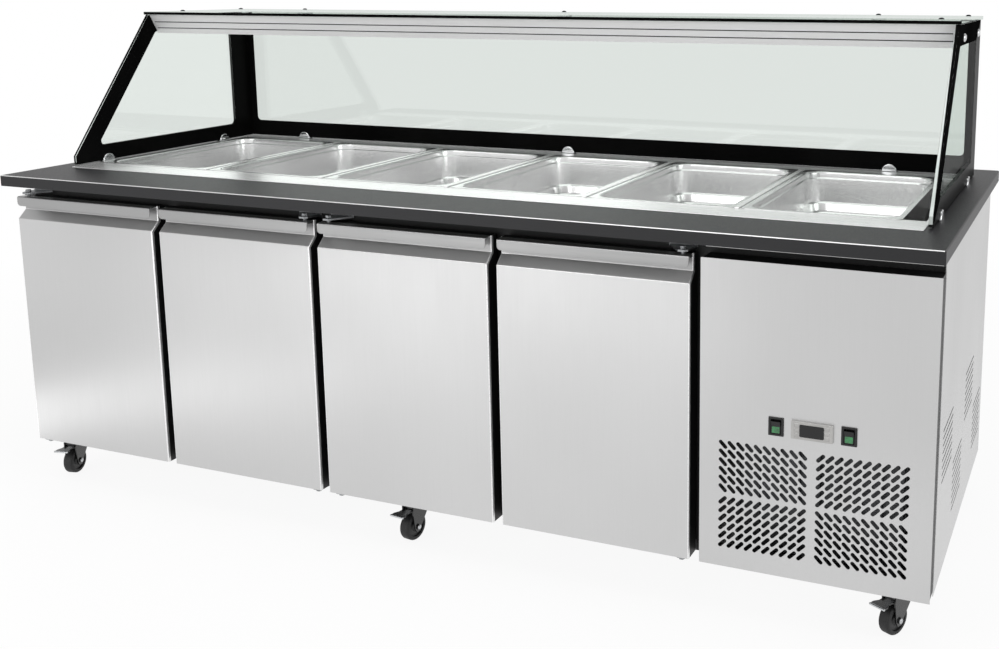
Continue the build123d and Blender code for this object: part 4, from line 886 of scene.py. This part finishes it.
    def plain_sheet(self, low: Array, high: Array, edges: Array, holes: list, openings: list) -> list[Patch]:
        """Sheet on both sides of the slotted fields, on a grid whose lines meet every cell's edge points.

        Args:
            low: Lowest corner of the panel.
            high: Highest corner of the panel.
            edges: Edge points of all cells.
            holes: Fields as x and z limits.
            openings: Cut-outs for the controls as x and z limits.

        Returns:
            Front, back, rim and the walls of the cut-outs.
        """
        cuts = np.array(openings)
        xs = self.grid_lines([low[0], high[0]], edges[..., 0], cuts[:, :2])
        zs = self.grid_lines([low[2], high[2]], edges[..., 1], cuts[:, 2:])
        mid_x, mid_z = (xs[1:] + xs[:-1]) / 2, (zs[1:] + zs[:-1]) / 2
        keep = np.ones((len(mid_x), len(mid_z)), bool)
        for left, right, bottom, top in holes + openings:
            keep &= ~(((mid_x > left) & (mid_x < right))[:, None] & ((mid_z > bottom) & (mid_z < top))[None])
        flat = np.stack(np.meshgrid(xs, zs, indexing="ij"), axis=-1)
        patches = []
        for depth in (low[1], high[1]):
            patch = grid_patch(self.lift(flat, depth))
            patch.faces = [patch.faces[0][keep.ravel()]]
            patches.append(patch)
        for left, right, bottom, top in [(low[0], high[0], low[2], high[2])] + openings:
            inner_x = xs[(xs >= left - self.touch) & (xs <= right + self.touch)]
            inner_z = zs[(zs >= bottom - self.touch) & (zs <= top + self.touch)]
            loop = np.concatenate([np.stack([inner_x, np.full(len(inner_x), bottom)], -1),
                                   np.stack([np.full(len(inner_z), right), inner_z], -1),
                                   np.stack([inner_x[::-1], np.full(len(inner_x), top)], -1),
                                   np.stack([np.full(len(inner_z), left), inner_z[::-1]], -1)])
            patches.append(grid_patch(np.stack([self.lift(loop, low[1]), self.lift(loop, high[1])])))
        return patches


@dataclass
class FoodPans:
    """Deep-drawn pans: a flat rim, a stacking shoulder and a ledge in the wall, and a dished floor corner."""

    pans: int = 6
    sheet: float = 1.0
    rim: float = 12.5
    mouth_bend: float = 4.0
    mouth_draft: float = 0.4     # wall leans in by this much down to the shoulder
    shoulder_depth: float = 15.0  # stacking shoulder below the rim's face
    shoulder: tuple[float, float] = (3.1, 2.5)   # inset from the mouth, and height of its slope
    shoulder_bend: float = 1.2
    ledge_depth: float = 72.0
    ledge_inset: float = 17.5
    ledge: tuple[float, float] = (3.5, 4.0)      # inset, and height of its slope
    ledge_bends: tuple[float, float] = (2.0, 1.5)        # outside and inside
    floor_inset: float = 27.5
    floor_bend: float = 13.0
    floor_seam: float = 0.1      # where the section meets the flat middle of the floor
    corner: float = 44.0         # round corners in plan at the mouth, the floor's edge and its middle
    floor_corner: float = 36.0
    middle_corner: float = 6.0
    bend_steps: int = 4
    corner_steps: int = 9
    crease: float = 50.0

    @property
    def floor_middle(self) -> float:
        """Inset at which the wall's section ends and the flat of the floor begins."""
        return self.floor_inset + 3 * self.floor_bend

    def section(self, depth: float) -> Array:
        """Closed section of the wall as inset from the rim's edge and height below the rim's face.

        The inside is the outside, moved in and up by the sheet's thickness.

        Args:
            depth: Whole depth of the pan.

        Returns:
            Points from the floor's underside, round the rim, and down inside to the floor.
        """
        sheet, bend, soft = self.sheet, self.floor_bend, self.shoulder_bend
        step, high = self.ledge_depth + sheet, self.shoulder_depth
        outside = np.array([(self.floor_middle, -depth), (self.floor_inset, -depth),
                            (self.ledge_inset + self.ledge[0], -step - self.ledge[1]),
                            (self.ledge_inset, -step),
                            (self.rim + self.shoulder[0], -high - self.shoulder[1]),
                            (self.rim + self.mouth_draft, -high), (self.rim, -sheet)])
        inside = outside + sheet
        inside[0, 0] = self.floor_middle
        corners = np.vstack([outside, [(0, -sheet), (0, 0)], inside[::-1]])
        outer, inner = self.ledge_bends
        radii = [self.floor_seam, bend, outer, outer, soft, soft, self.mouth_bend - sheet,
                 SHEET_EDGE * sheet, SHEET_EDGE * sheet,
                 self.mouth_bend, soft, soft, inner, inner, bend - sheet, self.floor_seam]
        return rounded_outline(corners, radii, self.bend_steps)

    def build(self) -> None:
        """Makes the six pans as stacks of rounded rectangles that follow the section."""
        for number in range(1, self.pans + 1):
            low, high = extent(f"pan_{number}")
            section = self.section(high[2] - low[2])
            inset = section[:, 0]
            radius = np.interp(inset, [0, self.rim, self.floor_inset, self.floor_middle],
                               [self.rim, self.corner, self.floor_corner, self.middle_corner])
            half = (high - low)[:2] / 2
            rings = rounded_rings(half[0] - inset, half[1] - inset, radius, self.corner_steps)
            grid = np.empty((*rings.shape[:2], 3))
            grid[..., :2] = rings + (low + high)[:2] / 2
            grid[..., 2] = high[2] + section[:, 1:]
            make_piece(f"pan_{number}_drawn", tube_patches(grid), [DRAWN], f"pan_{number}",
                       [f"pan_{number}"], self.crease)


@dataclass
class GlassPrint:
    """Black borders fired onto the side and back glasses, the black paint on the top glass's front edge, and a
    painted highlight with painted shade beside it on the side glasses' front edges.
    """

    ink: float = 0.15            # print stands this far out of both faces of its glass
    ink_inset: float = 1.2
    ink_corner: float = 12.0
    ink_edge: float = 0.5        # outer corners of a border
    corner_steps: int = 6
    rake_setback: float = 3.0    # head of the raked edge behind the front of the top glass
    nose: float = 21.0           # upright part of the front edge
    rake_border: float = 44.0
    foot_border: float = 40.0
    back_border: float = 77.0
    head_border: float = 44.0
    window_cut: float = 14.0     # slanted corner of the window at the foot of the rake
    cut_corner: float = 8.5
    satin_columns: tuple[int, int] = (2, 17)     # points of the outline from its front foot to its back head
    back_side_border: float = 15.0
    back_foot_border: float = 44.0
    edge: float = 0.4            # painted highlight and shade strips on the raked fronts
    edge_foot: float = 6.0
    edge_stop: float = 95.0      # the painted highlight thins to a hair this far below the top glass
    edge_taper: tuple[float, ...] = (1.0, 1.0, 0.2, 0.02)       # its width at foot, nose, stop and head
    edge_bright: tuple[float, float] = (0.30, 0.96)      # left and right: the left one is mostly painted shade, with a narrow painted highlight
    paint: tuple[float, float] = (1.2, 0.6)      # depth of the top edge's paint, and margin to the faces
    paint_corner: float = 0.3
    paint_proud: float = 0.2

    def build(self) -> None:
        """Makes the borders, the painted highlight and shade on the side glasses' front edges, and the edge paint.
        """
        for (_, node), bright in zip(SIDES, self.edge_bright):
            self.side_border(node, bright)
        self.back_border_print()
        self.top_edge()

    def side_border(self, node: str, bright: float) -> None:
        """Black border on both faces of a side glass, round a clear rounded window, and the painted highlight and
        shade on its front edge.

        The window's raked edge is the glass's own, moved in by the border along its normal.

        Args:
            node: The side glass.
            bright: Share of the front edge's width that is bright at the nose.
        """
        low, high = extent(node)
        front, back = low[1], high[1]
        top_front = extent("top_glass")[0][1] + self.rake_setback
        nose = low[2] + self.nose
        outer = np.array([(front, low[2]), (back, low[2]), (back, high[2]), (top_front, high[2]),
                          (front, nose)])
        rake = np.array([top_front - front, high[2] - nose])
        rake /= np.linalg.norm(rake)
        anchor = np.array([front, nose]) + self.rake_border * np.array([rake[1], -rake[0]])
        heights = np.array([low[2] + self.foot_border, high[2] - self.head_border])
        corner, upper = anchor + rake * (heights[:, None] - anchor[1]) / rake[1]
        rear = back - self.back_border
        inner = np.array([corner + (self.window_cut, 0), (rear, heights[0]), (rear, heights[1]), upper,
                          corner + rake * self.window_cut])
        middle = outer.mean(axis=0)
        reach = outer - middle
        outer = middle + reach * (1 - self.ink_inset / np.linalg.norm(reach, axis=1, keepdims=True))
        radii = [self.cut_corner, *[self.ink_corner] * 3, self.cut_corner]
        rings = np.stack([rounded_outline(outer, [self.ink_edge] * len(outer), self.corner_steps),
                          rounded_outline(inner, radii, self.corner_steps)])
        self.ring_print(f"{node}_border", rings, low[0] - self.ink, high[0] + self.ink)
        line = np.array([(front, low[2] + self.edge_foot), (front, nose), (top_front, high[2])])
        self.edge_highlight_and_shade(node, line, low, high, bright)

    def ring_print(self, name: str, rings: Array, near: float, far: float) -> None:
        """Thin closed ring of ink between two outlines, satin at its foot and back.

        Args:
            name: Name of the piece.
            rings: Outer and inner outline in y and z.
            near: X of one face.
            far: X of the other face.
        """
        count = rings.shape[1]
        grid = np.empty((4, count, 3))
        grid[:, :, 1:] = rings[[0, 1, 1, 0]]
        grid[:, :, 0] = np.array([near, near, far, far])[:, None]
        start, end = self.satin_columns
        satin, dull = np.arange(start, end + 1), np.arange(end, start + count + 1) % count
        patches = [grid_patch(grid[:, satin], round_rows=True, finish=1),
                   grid_patch(grid[:, dull], round_rows=True)]
        make_piece(name, patches, [CERAMIC_INK, SATIN_INK], "cabinet")

    def edge_highlight_and_shade(self, node: str, line: Array, low: Array, high: Array, share: float) -> None:
        """Front edge of a side glass: a painted highlight line that tapers up the rake, with black ink beside it
        as painted shade.

        Each row across the edge splits at the inner face plus the bright share of the width, times the taper
        at that row.

        Args:
            node: The side glass.
            line: Foot, nose and head of the front edge in y and z.
            low: Lowest corner of the glass.
            high: Highest corner of the glass.
            share: Share of the edge's width that is bright at the nose.
        """
        along = np.diff(line, axis=0)
        along /= np.linalg.norm(along, axis=1, keepdims=True)
        out = np.stack([-along[:, 1], along[:, 0]], axis=-1)
        bisector = (out[0] + out[1]) / (1 + out[0] @ out[1])
        front = line + self.edge * np.array([out[0], bisector, out[1]])
        rows = np.stack([line[[0, 1, 2, 2]], front[[0, 1, 2, 2]]], axis=1)
        rows[2] -= along[1] * self.edge_stop
        inner, outer = low[0] + self.edge, high[0] - self.edge
        if high[0] < 0:
            inner, outer = outer, inner
        split = inner + (outer - inner) * share * np.array(self.edge_taper)
        patches: list[Patch] = []
        for finish, (start, end) in enumerate(((np.full(4, inner), split), (split, np.full(4, outer)))):
            section = np.empty((4, 4, 3))
            section[:, :2, 0], section[:, 2:, 0] = start[:, None], end[:, None]
            section[:, :2, 1:], section[:, 2:, 1:] = rows, rows[:, ::-1]
            patches += tube_patches(section, finish)
        # The pale finish is a painted highlight line, the ink beside it painted shade
        make_piece(f"{node}_edge_highlight_and_shade", patches, [EDGE_HIGHLIGHT, CERAMIC_INK], "cabinet")

    def back_border_print(self) -> None:
        """Black band along the foot and both ends of the back glass, with rounded inner corners."""
        low, high = extent("back_glass")
        left, right = low[0] + self.ink_inset, high[0] - self.ink_inset
        foot, head = low[2] + self.ink_inset, high[2] - self.ink_inset
        band = low[2] + self.back_foot_border
        wide = self.back_side_border
        corners = [(left, head), (left, foot), (right, foot), (right, head), (right - wide, head),
                   (right - wide, band), (left + wide, band), (left + wide, head)]
        radii = [*[self.ink_edge] * 5, self.ink_corner, self.ink_corner, self.ink_edge]
        outline = rounded_outline(corners, radii, self.corner_steps)
        patches = prism_patches(outline, (0, 0, 0), RIGHT, UP, BACK, [low[1] - self.ink, high[1] + self.ink])
        make_piece("back_glass_border", patches, [CERAMIC_INK], "cabinet")

    def top_edge(self) -> None:
        """Black edge paint on the front of the top glass."""
        low, high = extent("top_glass")
        front = low[1] - self.paint_proud
        depth, margin = self.paint
        outline = rounded_box((front, low[2] + margin), (front + depth, high[2] - margin),
                              [self.paint_corner] * 4, steps=2)
        patches = bar_patches(outline, low[0] + self.ink_inset, high[0] - self.ink_inset)
        make_piece("top_glass_edge_paint", patches, [CERAMIC_INK], "cabinet")


@dataclass
class GlassFixings:
    """Chrome clamps, caps and angles of the canopy, its black cap screws, and black strips of painted shade in the
    light rail's grooves.
    """

    clamp_radius: float = 18.5
    clamp_shoulder: float = 1.5
    clamp_points: int = 19
    cheek: float = 5.0
    cheek_edge: float = 2.6      # pillowed edge of a cheek
    cheek_points: int = 6
    clamps_from_front: tuple[float, float] = (98.0, 518.0)
    back_clamps: tuple[float, ...] = (-855.0, 0.0, 855.0)
    cap: tuple[float, float] = (9.0, 5.0)        # radius and rise
    cap_sides: int = 24
    cap_drop: float = 37.0
    caps_from_back: tuple[float, float] = (300.0, 45.0)
    bracket: tuple[float, float, float] = (30.0, 30.0, 3.0)     # length, leg and thickness of the angles
    bracket_edges: tuple[float, ...] = (1.5, 1.2, 1.2, 2.0, 1.2, 1.2)
    back_brackets: tuple[float, ...] = (-820.0, 0.0, 820.0)
    screw: tuple[float, float] = (6.3, 3.8)      # radius and rise of the cap screws on the top glass
    screw_sides: int = 18
    rail_screw_inset: float = 40.0
    rail_lean: float = 28.0
    groove: float = 3.0
    grooves: tuple[float, float] = (20.0, 38.0)  # starts of the grooves down the rail's face
    shade_play: float = 0.05
    shade_depths: tuple[float, float] = (0.5, 1.95)       # front and back of a shade strip behind the rail's face
    shade_edges: tuple[float, ...] = (0.4, 0.4, 0.1, 0.1)
    shade_stop: float = 6.5       # short of the rail's ends
    crease: float = 40.0

    def build(self) -> None:
        """Makes the fixings and the painted groove shade."""
        self.fixings()
        self.groove_shade_strips()

    def clamp(self, place: Sequence, along: Array, outward: Array, glass: float) -> list[Patch]:
        """Half-round clamp: two pillowed cheeks, one on each face of the glass.

        A cheek's rings follow a quarter circle: at angle t the outline shrinks about the head's centre by the
        edge times one minus the cosine of t, and stands out by the edge times the sine of t. Its foot stays
        level.

        Args:
            place: Middle of the clamp's foot.
            along: Unit vector along the glass.
            outward: Unit vector square to the glass.
            glass: Thickness of the glass.

        Returns:
            Patches of the clamp.
        """
        radius, shoulder, edge = self.clamp_radius, self.clamp_shoulder, self.cheek_edge
        turn = np.linspace(0, pi, self.clamp_points)
        round_head = np.stack([radius * np.cos(turn), shoulder + radius * np.sin(turn)], axis=-1)
        outline = np.vstack([round_head, [(-radius, 0.0), (radius, 0.0)]])
        pillow = quarter_turn(self.cheek_points)
        inset = np.concatenate([[0.0], edge * (1 - np.cos(pillow))])
        depth = np.concatenate([[0.0], self.cheek - edge + edge * np.sin(pillow)])
        middle = np.array([0.0, shoulder])
        rings = middle + (outline - middle)[None] * (1 - inset / radius)[:, None, None]
        rings[..., 1] = np.where(outline[None, :, 1] <= 0.0, 0.0, rings[..., 1])
        face = np.asarray(place, float) + rings[..., :1] * along + rings[..., 1:] * UP
        patches: list[Patch] = []
        for side in (-1, 1):
            patches += tube_patches(face + side * (glass / 2 + depth)[:, None, None] * outward)
        return patches

    def angle(self, corner: Sequence, toward: Sequence, along: Array) -> list[Patch]:
        """Angle under the top glass, one leg against the upright glass, with a rounded bend and edges.

        Args:
            corner: Corner between the two glasses, at the middle of the angle.
            toward: Unit vector along the leg under the top glass.
            along: Unit vector along the bend.

        Returns:
            Patches of the angle.
        """
        length, leg, thick = self.bracket
        corners = [(0, 0), (leg, 0), (leg, -thick), (thick, -thick), (thick, -leg), (0, -leg)]
        outline = rounded_outline(corners, self.bracket_edges, steps=3)
        return prism_patches(outline, corner, toward, UP, along, [-length / 2, length / 2])

    def screw_places(self) -> list[tuple[float, float]]:
        """Cap screws on the top glass: over the light rail, over the side angles and over the back angles.

        Returns:
            Their places in x and y.
        """
        low, high = extent("back_glass")
        leg = self.bracket[1]
        front, rear = self.caps_from_back
        places = [(x, low[1] - leg / 2) for x in self.back_brackets]
        for side in (-1, 1):
            places.append((side * (high[0] - self.rail_screw_inset), high[1] - front))
            places.append((side * (high[0] - leg / 2), high[1] - rear))
        return places

    def fixings(self) -> None:
        """Clamps at the feet of the glasses, domed caps near the top, angles and screws of the top glass."""
        back_low, back_high = extent("back_glass")
        foot, head, top = extent("worktop")[1][2], back_high[2], extent("top_glass")[1][2]
        patches: list[Patch] = []
        for side, node in SIDES:
            low, high = extent(node)
            glass = high[0] - low[0]
            middle = (low[0] + high[0]) / 2
            inside, outside = middle - side * glass / 2, middle + side * glass / 2
            for offset in self.clamps_from_front:
                patches += self.clamp((middle, low[1] + offset, foot), BACK, RIGHT, glass)
            for offset in self.caps_from_back:
                place = (outside, high[1] - offset, head + glass - self.cap_drop)
                patches += dome_patches(place, side * RIGHT, self.cap, self.cap_sides)
            patches += self.angle((inside, high[1] - self.caps_from_back[1], head), -side * RIGHT, BACK)
        glass = back_high[1] - back_low[1]
        for x in self.back_clamps:
            patches += self.clamp((x, back_low[1] + glass / 2, foot), RIGHT, BACK, glass)
        for x in self.back_brackets:
            patches += self.angle((x, back_low[1], head), -BACK, RIGHT)
        for x, y in self.screw_places():
            patches += dome_patches((x, y, top), UP, self.screw, self.screw_sides, finish=1)
        make_piece("glass_fixings_chrome", patches, [CHROME, SCREW_BLACK], "cabinet",
                   ["glass_fixings"], self.crease)

    def groove_shade_strips(self) -> None:
        """Black strips in the two grooves of the light rail's leaning face: painted shade where the grooves fall
        dark.
        """
        low, high = extent("light_rail")
        lean = radians(self.rail_lean)
        down, behind = np.array([sin(lean), -cos(lean)]), np.array([cos(lean), sin(lean)])
        front, back = self.shade_depths
        patches: list[Patch] = []
        for start in self.grooves:
            near, far = start + self.shade_play, start + self.groove - self.shade_play
            outline = rounded_box((near, front), (far, back), self.shade_edges, steps=3)
            flat = np.array([low[1], high[2]]) + outline[:, :1] * down + outline[:, 1:] * behind
            patches += bar_patches(flat, low[0] + self.shade_stop, high[0] - self.shade_stop)
        make_piece("light_rail_groove_shade", patches, [GROOVE_SHADE], "cabinet")


@dataclass
class CastorWheels:
    """Wheels with a rounded rubber tread on a dished nylon centre, turned about their own axles."""

    castors: int = 6
    width: float = 24.0
    bore: float = 4.2
    hub: float = 10.0
    hub_slope: float = 2.0
    dish: float = 3.2
    centre_edges: tuple[float, ...] = (0.5, 1.0, 1.0, 0.3)
    tread_start: float = 22.5
    tread_bend: float = 5.0
    tread_edge: float = 0.6
    sides: int = 48
    axle_reach: float = 19.4
    axle_end: tuple[float, float] = (5.2, 2.0)       # radius and rise
    axle_sides: int = 16
    pedal_reach: tuple[float, float] = (38.5, 42.4)
    pedal_heights: tuple[float, float] = (-0.4, 3.5)     # foot and head of the lip from the pedal's pin
    pedal_edges: tuple[float, ...] = (0.4, 1.2, 1.6, 0.4)
    pedal_width: float = 34.6

    def build(self) -> None:
        """Makes the six wheels, the ends of their axles, and the lips of the brake pedals."""
        for number in range(1, self.castors + 1):
            joint = JOINTS[f"castor_{number}_roll"]
            centre, axle = np.array(joint["pos_m"]) / MM, np.array(joint["axis"], float)
            make_piece(f"castor_{number}_tyre", self.wheel(number, centre, axle), [RUBBER, NYLON],
                       f"castor_{number}_wheel", [f"castor_{number}_wheel"])
            ends: list[Patch] = []
            for side in (-1, 1):
                ends += dome_patches(centre + side * self.axle_reach * axle, side * axle, self.axle_end,
                                     self.axle_sides)
            make_piece(f"castor_{number}_axle_ends", ends, [ZINC], f"castor_{number}_fork")
            if f"castor_{number}_brake" in JOINTS:
                self.pedal_lip(number, axle)

    def wheel(self, number: int, centre: Array, axle: Array) -> list[Patch]:
        """Tread and centre, each a closed profile turned about the axle.

        Args:
            number: Number of the castor.
            centre: Middle of the wheel.
            axle: Direction of the axle.

        Returns:
            The tread, and the centre with the second finish.
        """
        low, high = extent(f"castor_{number}_wheel")
        radius = (high[2] - low[2]) / 2
        half, floor, start = self.width / 2, self.width / 2 - self.dish, self.tread_start
        tread = rounded_box((start, -half), (radius, half),
                            [self.tread_edge, self.tread_bend, self.tread_bend, self.tread_edge], steps=5)
        near = np.array([(self.bore, -half), (self.hub, -half), (self.hub + self.hub_slope, -floor),
                         (start, -floor)])
        corners = np.vstack([near, near[::-1] * (1, -1)])
        middle = rounded_outline(corners, self.centre_edges + self.centre_edges[::-1], steps=3)
        return [grid_patch(turned_grid(profile, centre, axle, self.sides), True, True, finish)
                for finish, profile in enumerate((tread, middle))]

    def pedal_lip(self, number: int, axle: Array) -> None:
        """Bright rolled lip round the end of a brake pedal, carried along the pedal's width.

        Args:
            number: Number of the castor.
            axle: Direction of the axle.
        """
        pivot = np.array(JOINTS[f"castor_{number}_brake"]["pos_m"]) / MM
        (start, end), (foot, head) = self.pedal_reach, self.pedal_heights
        outline = rounded_box((start, foot), (end, head), self.pedal_edges, steps=4)
        half = self.pedal_width / 2
        patches = prism_patches(outline, pivot, np.cross(axle, UP), UP, axle, [-half, half])
        make_piece(f"castor_{number}_pedal_lip", patches, [ZINC], f"castor_{number}_pedal")


@dataclass
class Controls:
    """Smoked window of the temperature controller and the green lenses of the two rockers."""

    window: tuple[float, float] = (46.0, 24.0)
    window_corner: float = 2.4
    window_rise: float = 0.45
    window_sink: float = 0.4
    key_rise: float = 0.6
    rocker: tuple[float, float] = (18.0, 25.0)
    rocker_front: float = 6.7    # face of the rocker in front of its pin, at its ends
    rocker_hollow: float = 2.2
    tilt: float = 8.0
    lens_margin: float = 1.6
    lens_corner: float = 1.2
    lens_rise: float = 0.5
    lens_lap: float = 1.0        # lens past the middle of the rocker

    def build(self) -> None:
        """Makes the window and the lenses."""
        low, high = extent("temperature_controller")
        middle = (low + high) / 2
        half = np.array(self.window) / 2
        outline = rounded_box(-half, half, [self.window_corner] * 4, steps=6)
        face = low[1] + self.key_rise
        patches = prism_patches(outline, (middle[0], face, middle[2]), RIGHT, UP, BACK,
                                [-self.window_rise, self.window_sink])
        make_piece("controller_window", patches, [WINDOW], "cabinet")
        for side in ("left", "right"):
            self.lens(side)

    def lens(self, side: str) -> None:
        """Green lens on the lower half of a rocker's hollowed face, turned with the rocker's rest tilt.

        The face runs straight from the rocker's foot to the bottom of its hollow, and both are turned
        about the pin.

        Args:
            side: Which rocker, left or right.
        """
        pivot = np.array(JOINTS[f"{side}_rocker_tilt"]["pos_m"]) / MM
        turn = radians(self.tilt)
        spin = np.array([[cos(turn), -sin(turn)], [sin(turn), cos(turn)]])
        foot = np.array([-self.rocker_front, -self.rocker[1] / 2])
        slope = np.array([self.rocker_hollow, self.rocker[1] / 2])
        length = np.linalg.norm(slope)
        up = slope / length
        out = np.array([-up[1], up[0]])
        wide = self.rocker[0] / 2 - self.lens_margin
        outline = rounded_box((-wide, self.lens_margin), (wide, length + self.lens_lap),
                              [self.lens_corner] * 4, steps=4)
        patches = prism_patches(outline, pivot + (0, *spin @ foot), RIGHT, (0, *spin @ up), (0, *spin @ out),
                                [-self.lens_rise, self.lens_rise])
        make_piece(f"{side}_rocker_lens", patches, [GREEN_LENS], f"{side}_rocker")


@dataclass
class Trim:
    """Thin trim: panel screws, the bright bead on the worktop's front edge that stands as a painted highlight
    line, and the channel under it.
    """

    bead: float = 1.6
    bead_end: float = 3.0
    bead_points: int = 7
    lip: float = 9.0             # height of the channel's front lip
    lip_setback: float = 3.0     # lip behind the door faces
    sheet: float = 1.5
    channel_edges: tuple[float, ...] = (0.5, 0.5, 1.0, 0.3, 0.3, 2.0)
    gap: float = 0.1
    screw: tuple[float, float] = (4.6, 2.2)      # radius and rise of the panel screws
    screw_sides: int = 14
    screw_inset: float = 14.0
    screw_sink: float = 0.2
    back_screws: int = 6         # along each level edge of the two panels behind
    machine_screws: int = 3

    def build(self) -> None:
        """Makes the panel screws, the painted highlight bead and the channel."""
        self.panel_screws()
        self.worktop_highlight_bead()
        self.worktop_channel()

    def panel_screws(self) -> None:
        """Domed screws along the top and bottom edges of the two panels behind, evenly spread."""
        patches: list[Patch] = []
        for node, count in (("cabinet_back", self.back_screws), ("machine_rear_panel", self.machine_screws)):
            low, high = extent(node)
            for x in np.linspace(low[0] + self.screw_inset, high[0] - self.screw_inset, count):
                for z in (low[2] + self.screw_inset, high[2] - self.screw_inset):
                    place = (x, high[1] - self.screw_sink, z)
                    patches += dome_patches(place, BACK, self.screw, self.screw_sides)
        make_piece("back_panel_screws", patches, [ZINC], "cabinet")

    def worktop_highlight_bead(self) -> None:
        """Quarter-round bright bead in the chamfer of the worktop's front edge: a painted highlight line."""
        low, high = extent("worktop")
        swing = quarter_turn(self.bead_points)
        arc = np.stack([low[1] + self.bead * (1 - np.cos(swing)),
                        high[2] - self.bead * (1 - np.sin(swing))], axis=-1)
        outline = np.vstack([arc, [(low[1] + self.bead, high[2] - self.bead)]])
        patches = bar_patches(outline, low[0] + self.bead_end, high[0] - self.bead_end)
        make_piece("worktop_front_highlight_bead", patches, [STRIP_WITH_HIGHLIGHT], "cabinet")

    def worktop_channel(self) -> None:
        """Folded channel under the worktop, over the machine panel."""
        low, high = extent("machine_front_panel")
        back, top = extent("front_frame")[0][1] - self.gap, extent("worktop")[0][2] - self.gap
        front, foot = low[1] + self.lip_setback, top - self.lip
        inside, under = front + self.sheet, top - self.sheet
        corners = [(front, foot), (inside, foot), (inside, under), (back, under), (back, top), (front, top)]
        outline = rounded_outline(corners, self.channel_edges, steps=4)
        patches = bar_patches(outline, low[0] + self.lip, high[0])
        make_piece("worktop_channel", patches, [SHEET_LEVEL], "cabinet")


@dataclass(frozen=True)
class Softbox:
    """Area lamp that faces a target: places and sizes in millimetres, power in watts."""

    name: str
    place: tuple[float, float, float]
    target: tuple[float, float, float]
    size: tuple[float, float]
    power: float

    def build(self) -> None:
        """Hangs the lamp out of the camera's sight and turns it to its target."""
        data = bpy.data.lights.new(self.name, "AREA")
        data.shape = "RECTANGLE"
        data.size, data.size_y = self.size[0] * MM, self.size[1] * MM
        data.energy = self.power
        lamp = bpy.data.objects.new(self.name, data)
        aim = np.array(self.target, float) - self.place
        lamp.location = np.array(self.place) * MM
        lamp.visible_camera = False
        level = np.hypot(aim[0], aim[1])
        lamp.rotation_euler = (np.arctan2(level, -aim[2]), 0.0, np.arctan2(aim[1], aim[0]) - pi / 2)
        bpy.context.scene.collection.objects.link(lamp)


SOFTBOXES = (
    Softbox("front softbox", (-900, -3400, 2500), (300, -430, 500), (2600, 1400), 36.0),
    Softbox("low front strip", (-900, -2480, 230), (150, -433, 350), (1800, 320), 3.2),
    Softbox("floor strip", (-950, -900, 70), (-500, -433, 300), (1400, 120), 0.4),
    Softbox("top softbox", (300, -300, 3300), (0, 0, 700), (3200, 1800), 31.0),
    Softbox("back softbox", (-1950, 2500, 1620), (0, -200, 780), (2500, 700), 7.0),
    Softbox("right softbox", (3400, -900, 1500), (900, -200, 500), (1500, 1600), 26.0),
)


@dataclass
class Studio:
    """White sweep, soft lamps and the camera."""

    yaw: float = 21.27
    pitch: float = -9.79
    stand: tuple[float, float, float] = (1347.85, -2441.63, 1220.13)
    lens: float = 42.07
    sensor: float = 36.0
    shift: tuple[float, float] = (-0.1607, -0.1396)
    floor_size: float = 14000.0
    floor_lines: int = 9
    fill: float = 0.55
    ceiling: float = 0.40        # level of the ceiling as metal and glass show it
    ceiling_rise: tuple[float, float] = (0.25, 0.75)     # rise of the look between which it is reached

    def build(self) -> None:
        """Sets up the world, the floor, the lamps and the camera."""
        bpy.context.scene.view_settings.view_transform = "Standard"
        self.world()
        self.floor()
        for softbox in SOFTBOXES:
            softbox.build()
        self.camera()

    def world(self) -> None:
        """White where it is seen, greyer towards the ceiling, and a plain fill light for everything else."""
        world = bpy.data.worlds.new("White sweep")
        world.use_nodes = True
        tree = world.node_tree
        tree.nodes.clear()
        fill = add_node(tree, "ShaderNodeBackground", {"Color": linear("FFFFFF"), "Strength": self.fill})
        way = add_node(tree, "ShaderNodeTexCoord").outputs["Generated"]
        rise = add_node(tree, "ShaderNodeSeparateXYZ", {"Vector": way}).outputs["Z"]
        low, high = self.ceiling_rise
        level = add_node(tree, "ShaderNodeMapRange",
                         {"Value": rise, "From Min": low, "From Max": high, "To Min": 1.0,
                          "To Max": self.ceiling}).outputs["Result"]
        white = add_node(tree, "ShaderNodeBackground", {"Color": linear("FFFFFF"), "Strength": level})
        mixed = add_node(tree, "ShaderNodeMixShader",
                         {0: seen_rays(tree), 1: fill.outputs[0], 2: white.outputs[0]})
        add_node(tree, "ShaderNodeOutputWorld", {"Surface": mixed.outputs[0]})
        bpy.context.scene.world = world

    def floor(self) -> None:
        """Level floor round the origin."""
        line = np.linspace(-self.floor_size / 2, self.floor_size / 2, self.floor_lines)
        grid = np.stack(np.meshgrid(line, line, [0.0], indexing="ij"), axis=-1)[:, :, 0] * MM
        patch = grid_patch(grid)
        mesh = bpy.data.meshes.new("floor")
        mesh.from_pydata(patch.points.tolist(), [], patch.faces[0].tolist())
        mesh.materials.append(FLOOR_PAINT.material())
        floor = bpy.data.objects.new("floor", mesh)
        bpy.context.scene.collection.objects.link(floor)

    def camera(self) -> None:
        """Camera at the photograph's viewing angle."""
        data = bpy.data.cameras.new("camera")
        data.sensor_fit = "HORIZONTAL"
        data.sensor_width = self.sensor
        data.lens = self.lens
        data.shift_x, data.shift_y = self.shift
        camera = bpy.data.objects.new("camera", data)
        camera.location = np.array(self.stand) * MM
        camera.rotation_euler = (radians(90 + self.pitch), 0.0, radians(self.yaw))
        bpy.context.scene.collection.objects.link(camera)
        bpy.context.scene.camera = camera


def main() -> None:
    """Builds the scene in order."""
    logging.basicConfig(level=logging.INFO, format="%(message)s")
    for part in (Studio(), Carcass(), DoorSkins(), GrillePanel(), FoodPans(), GlassPrint(), GlassFixings(),
                 CastorWheels(), Controls(), Trim()):
        part.build()


if __name__ == "__main__":
    main()
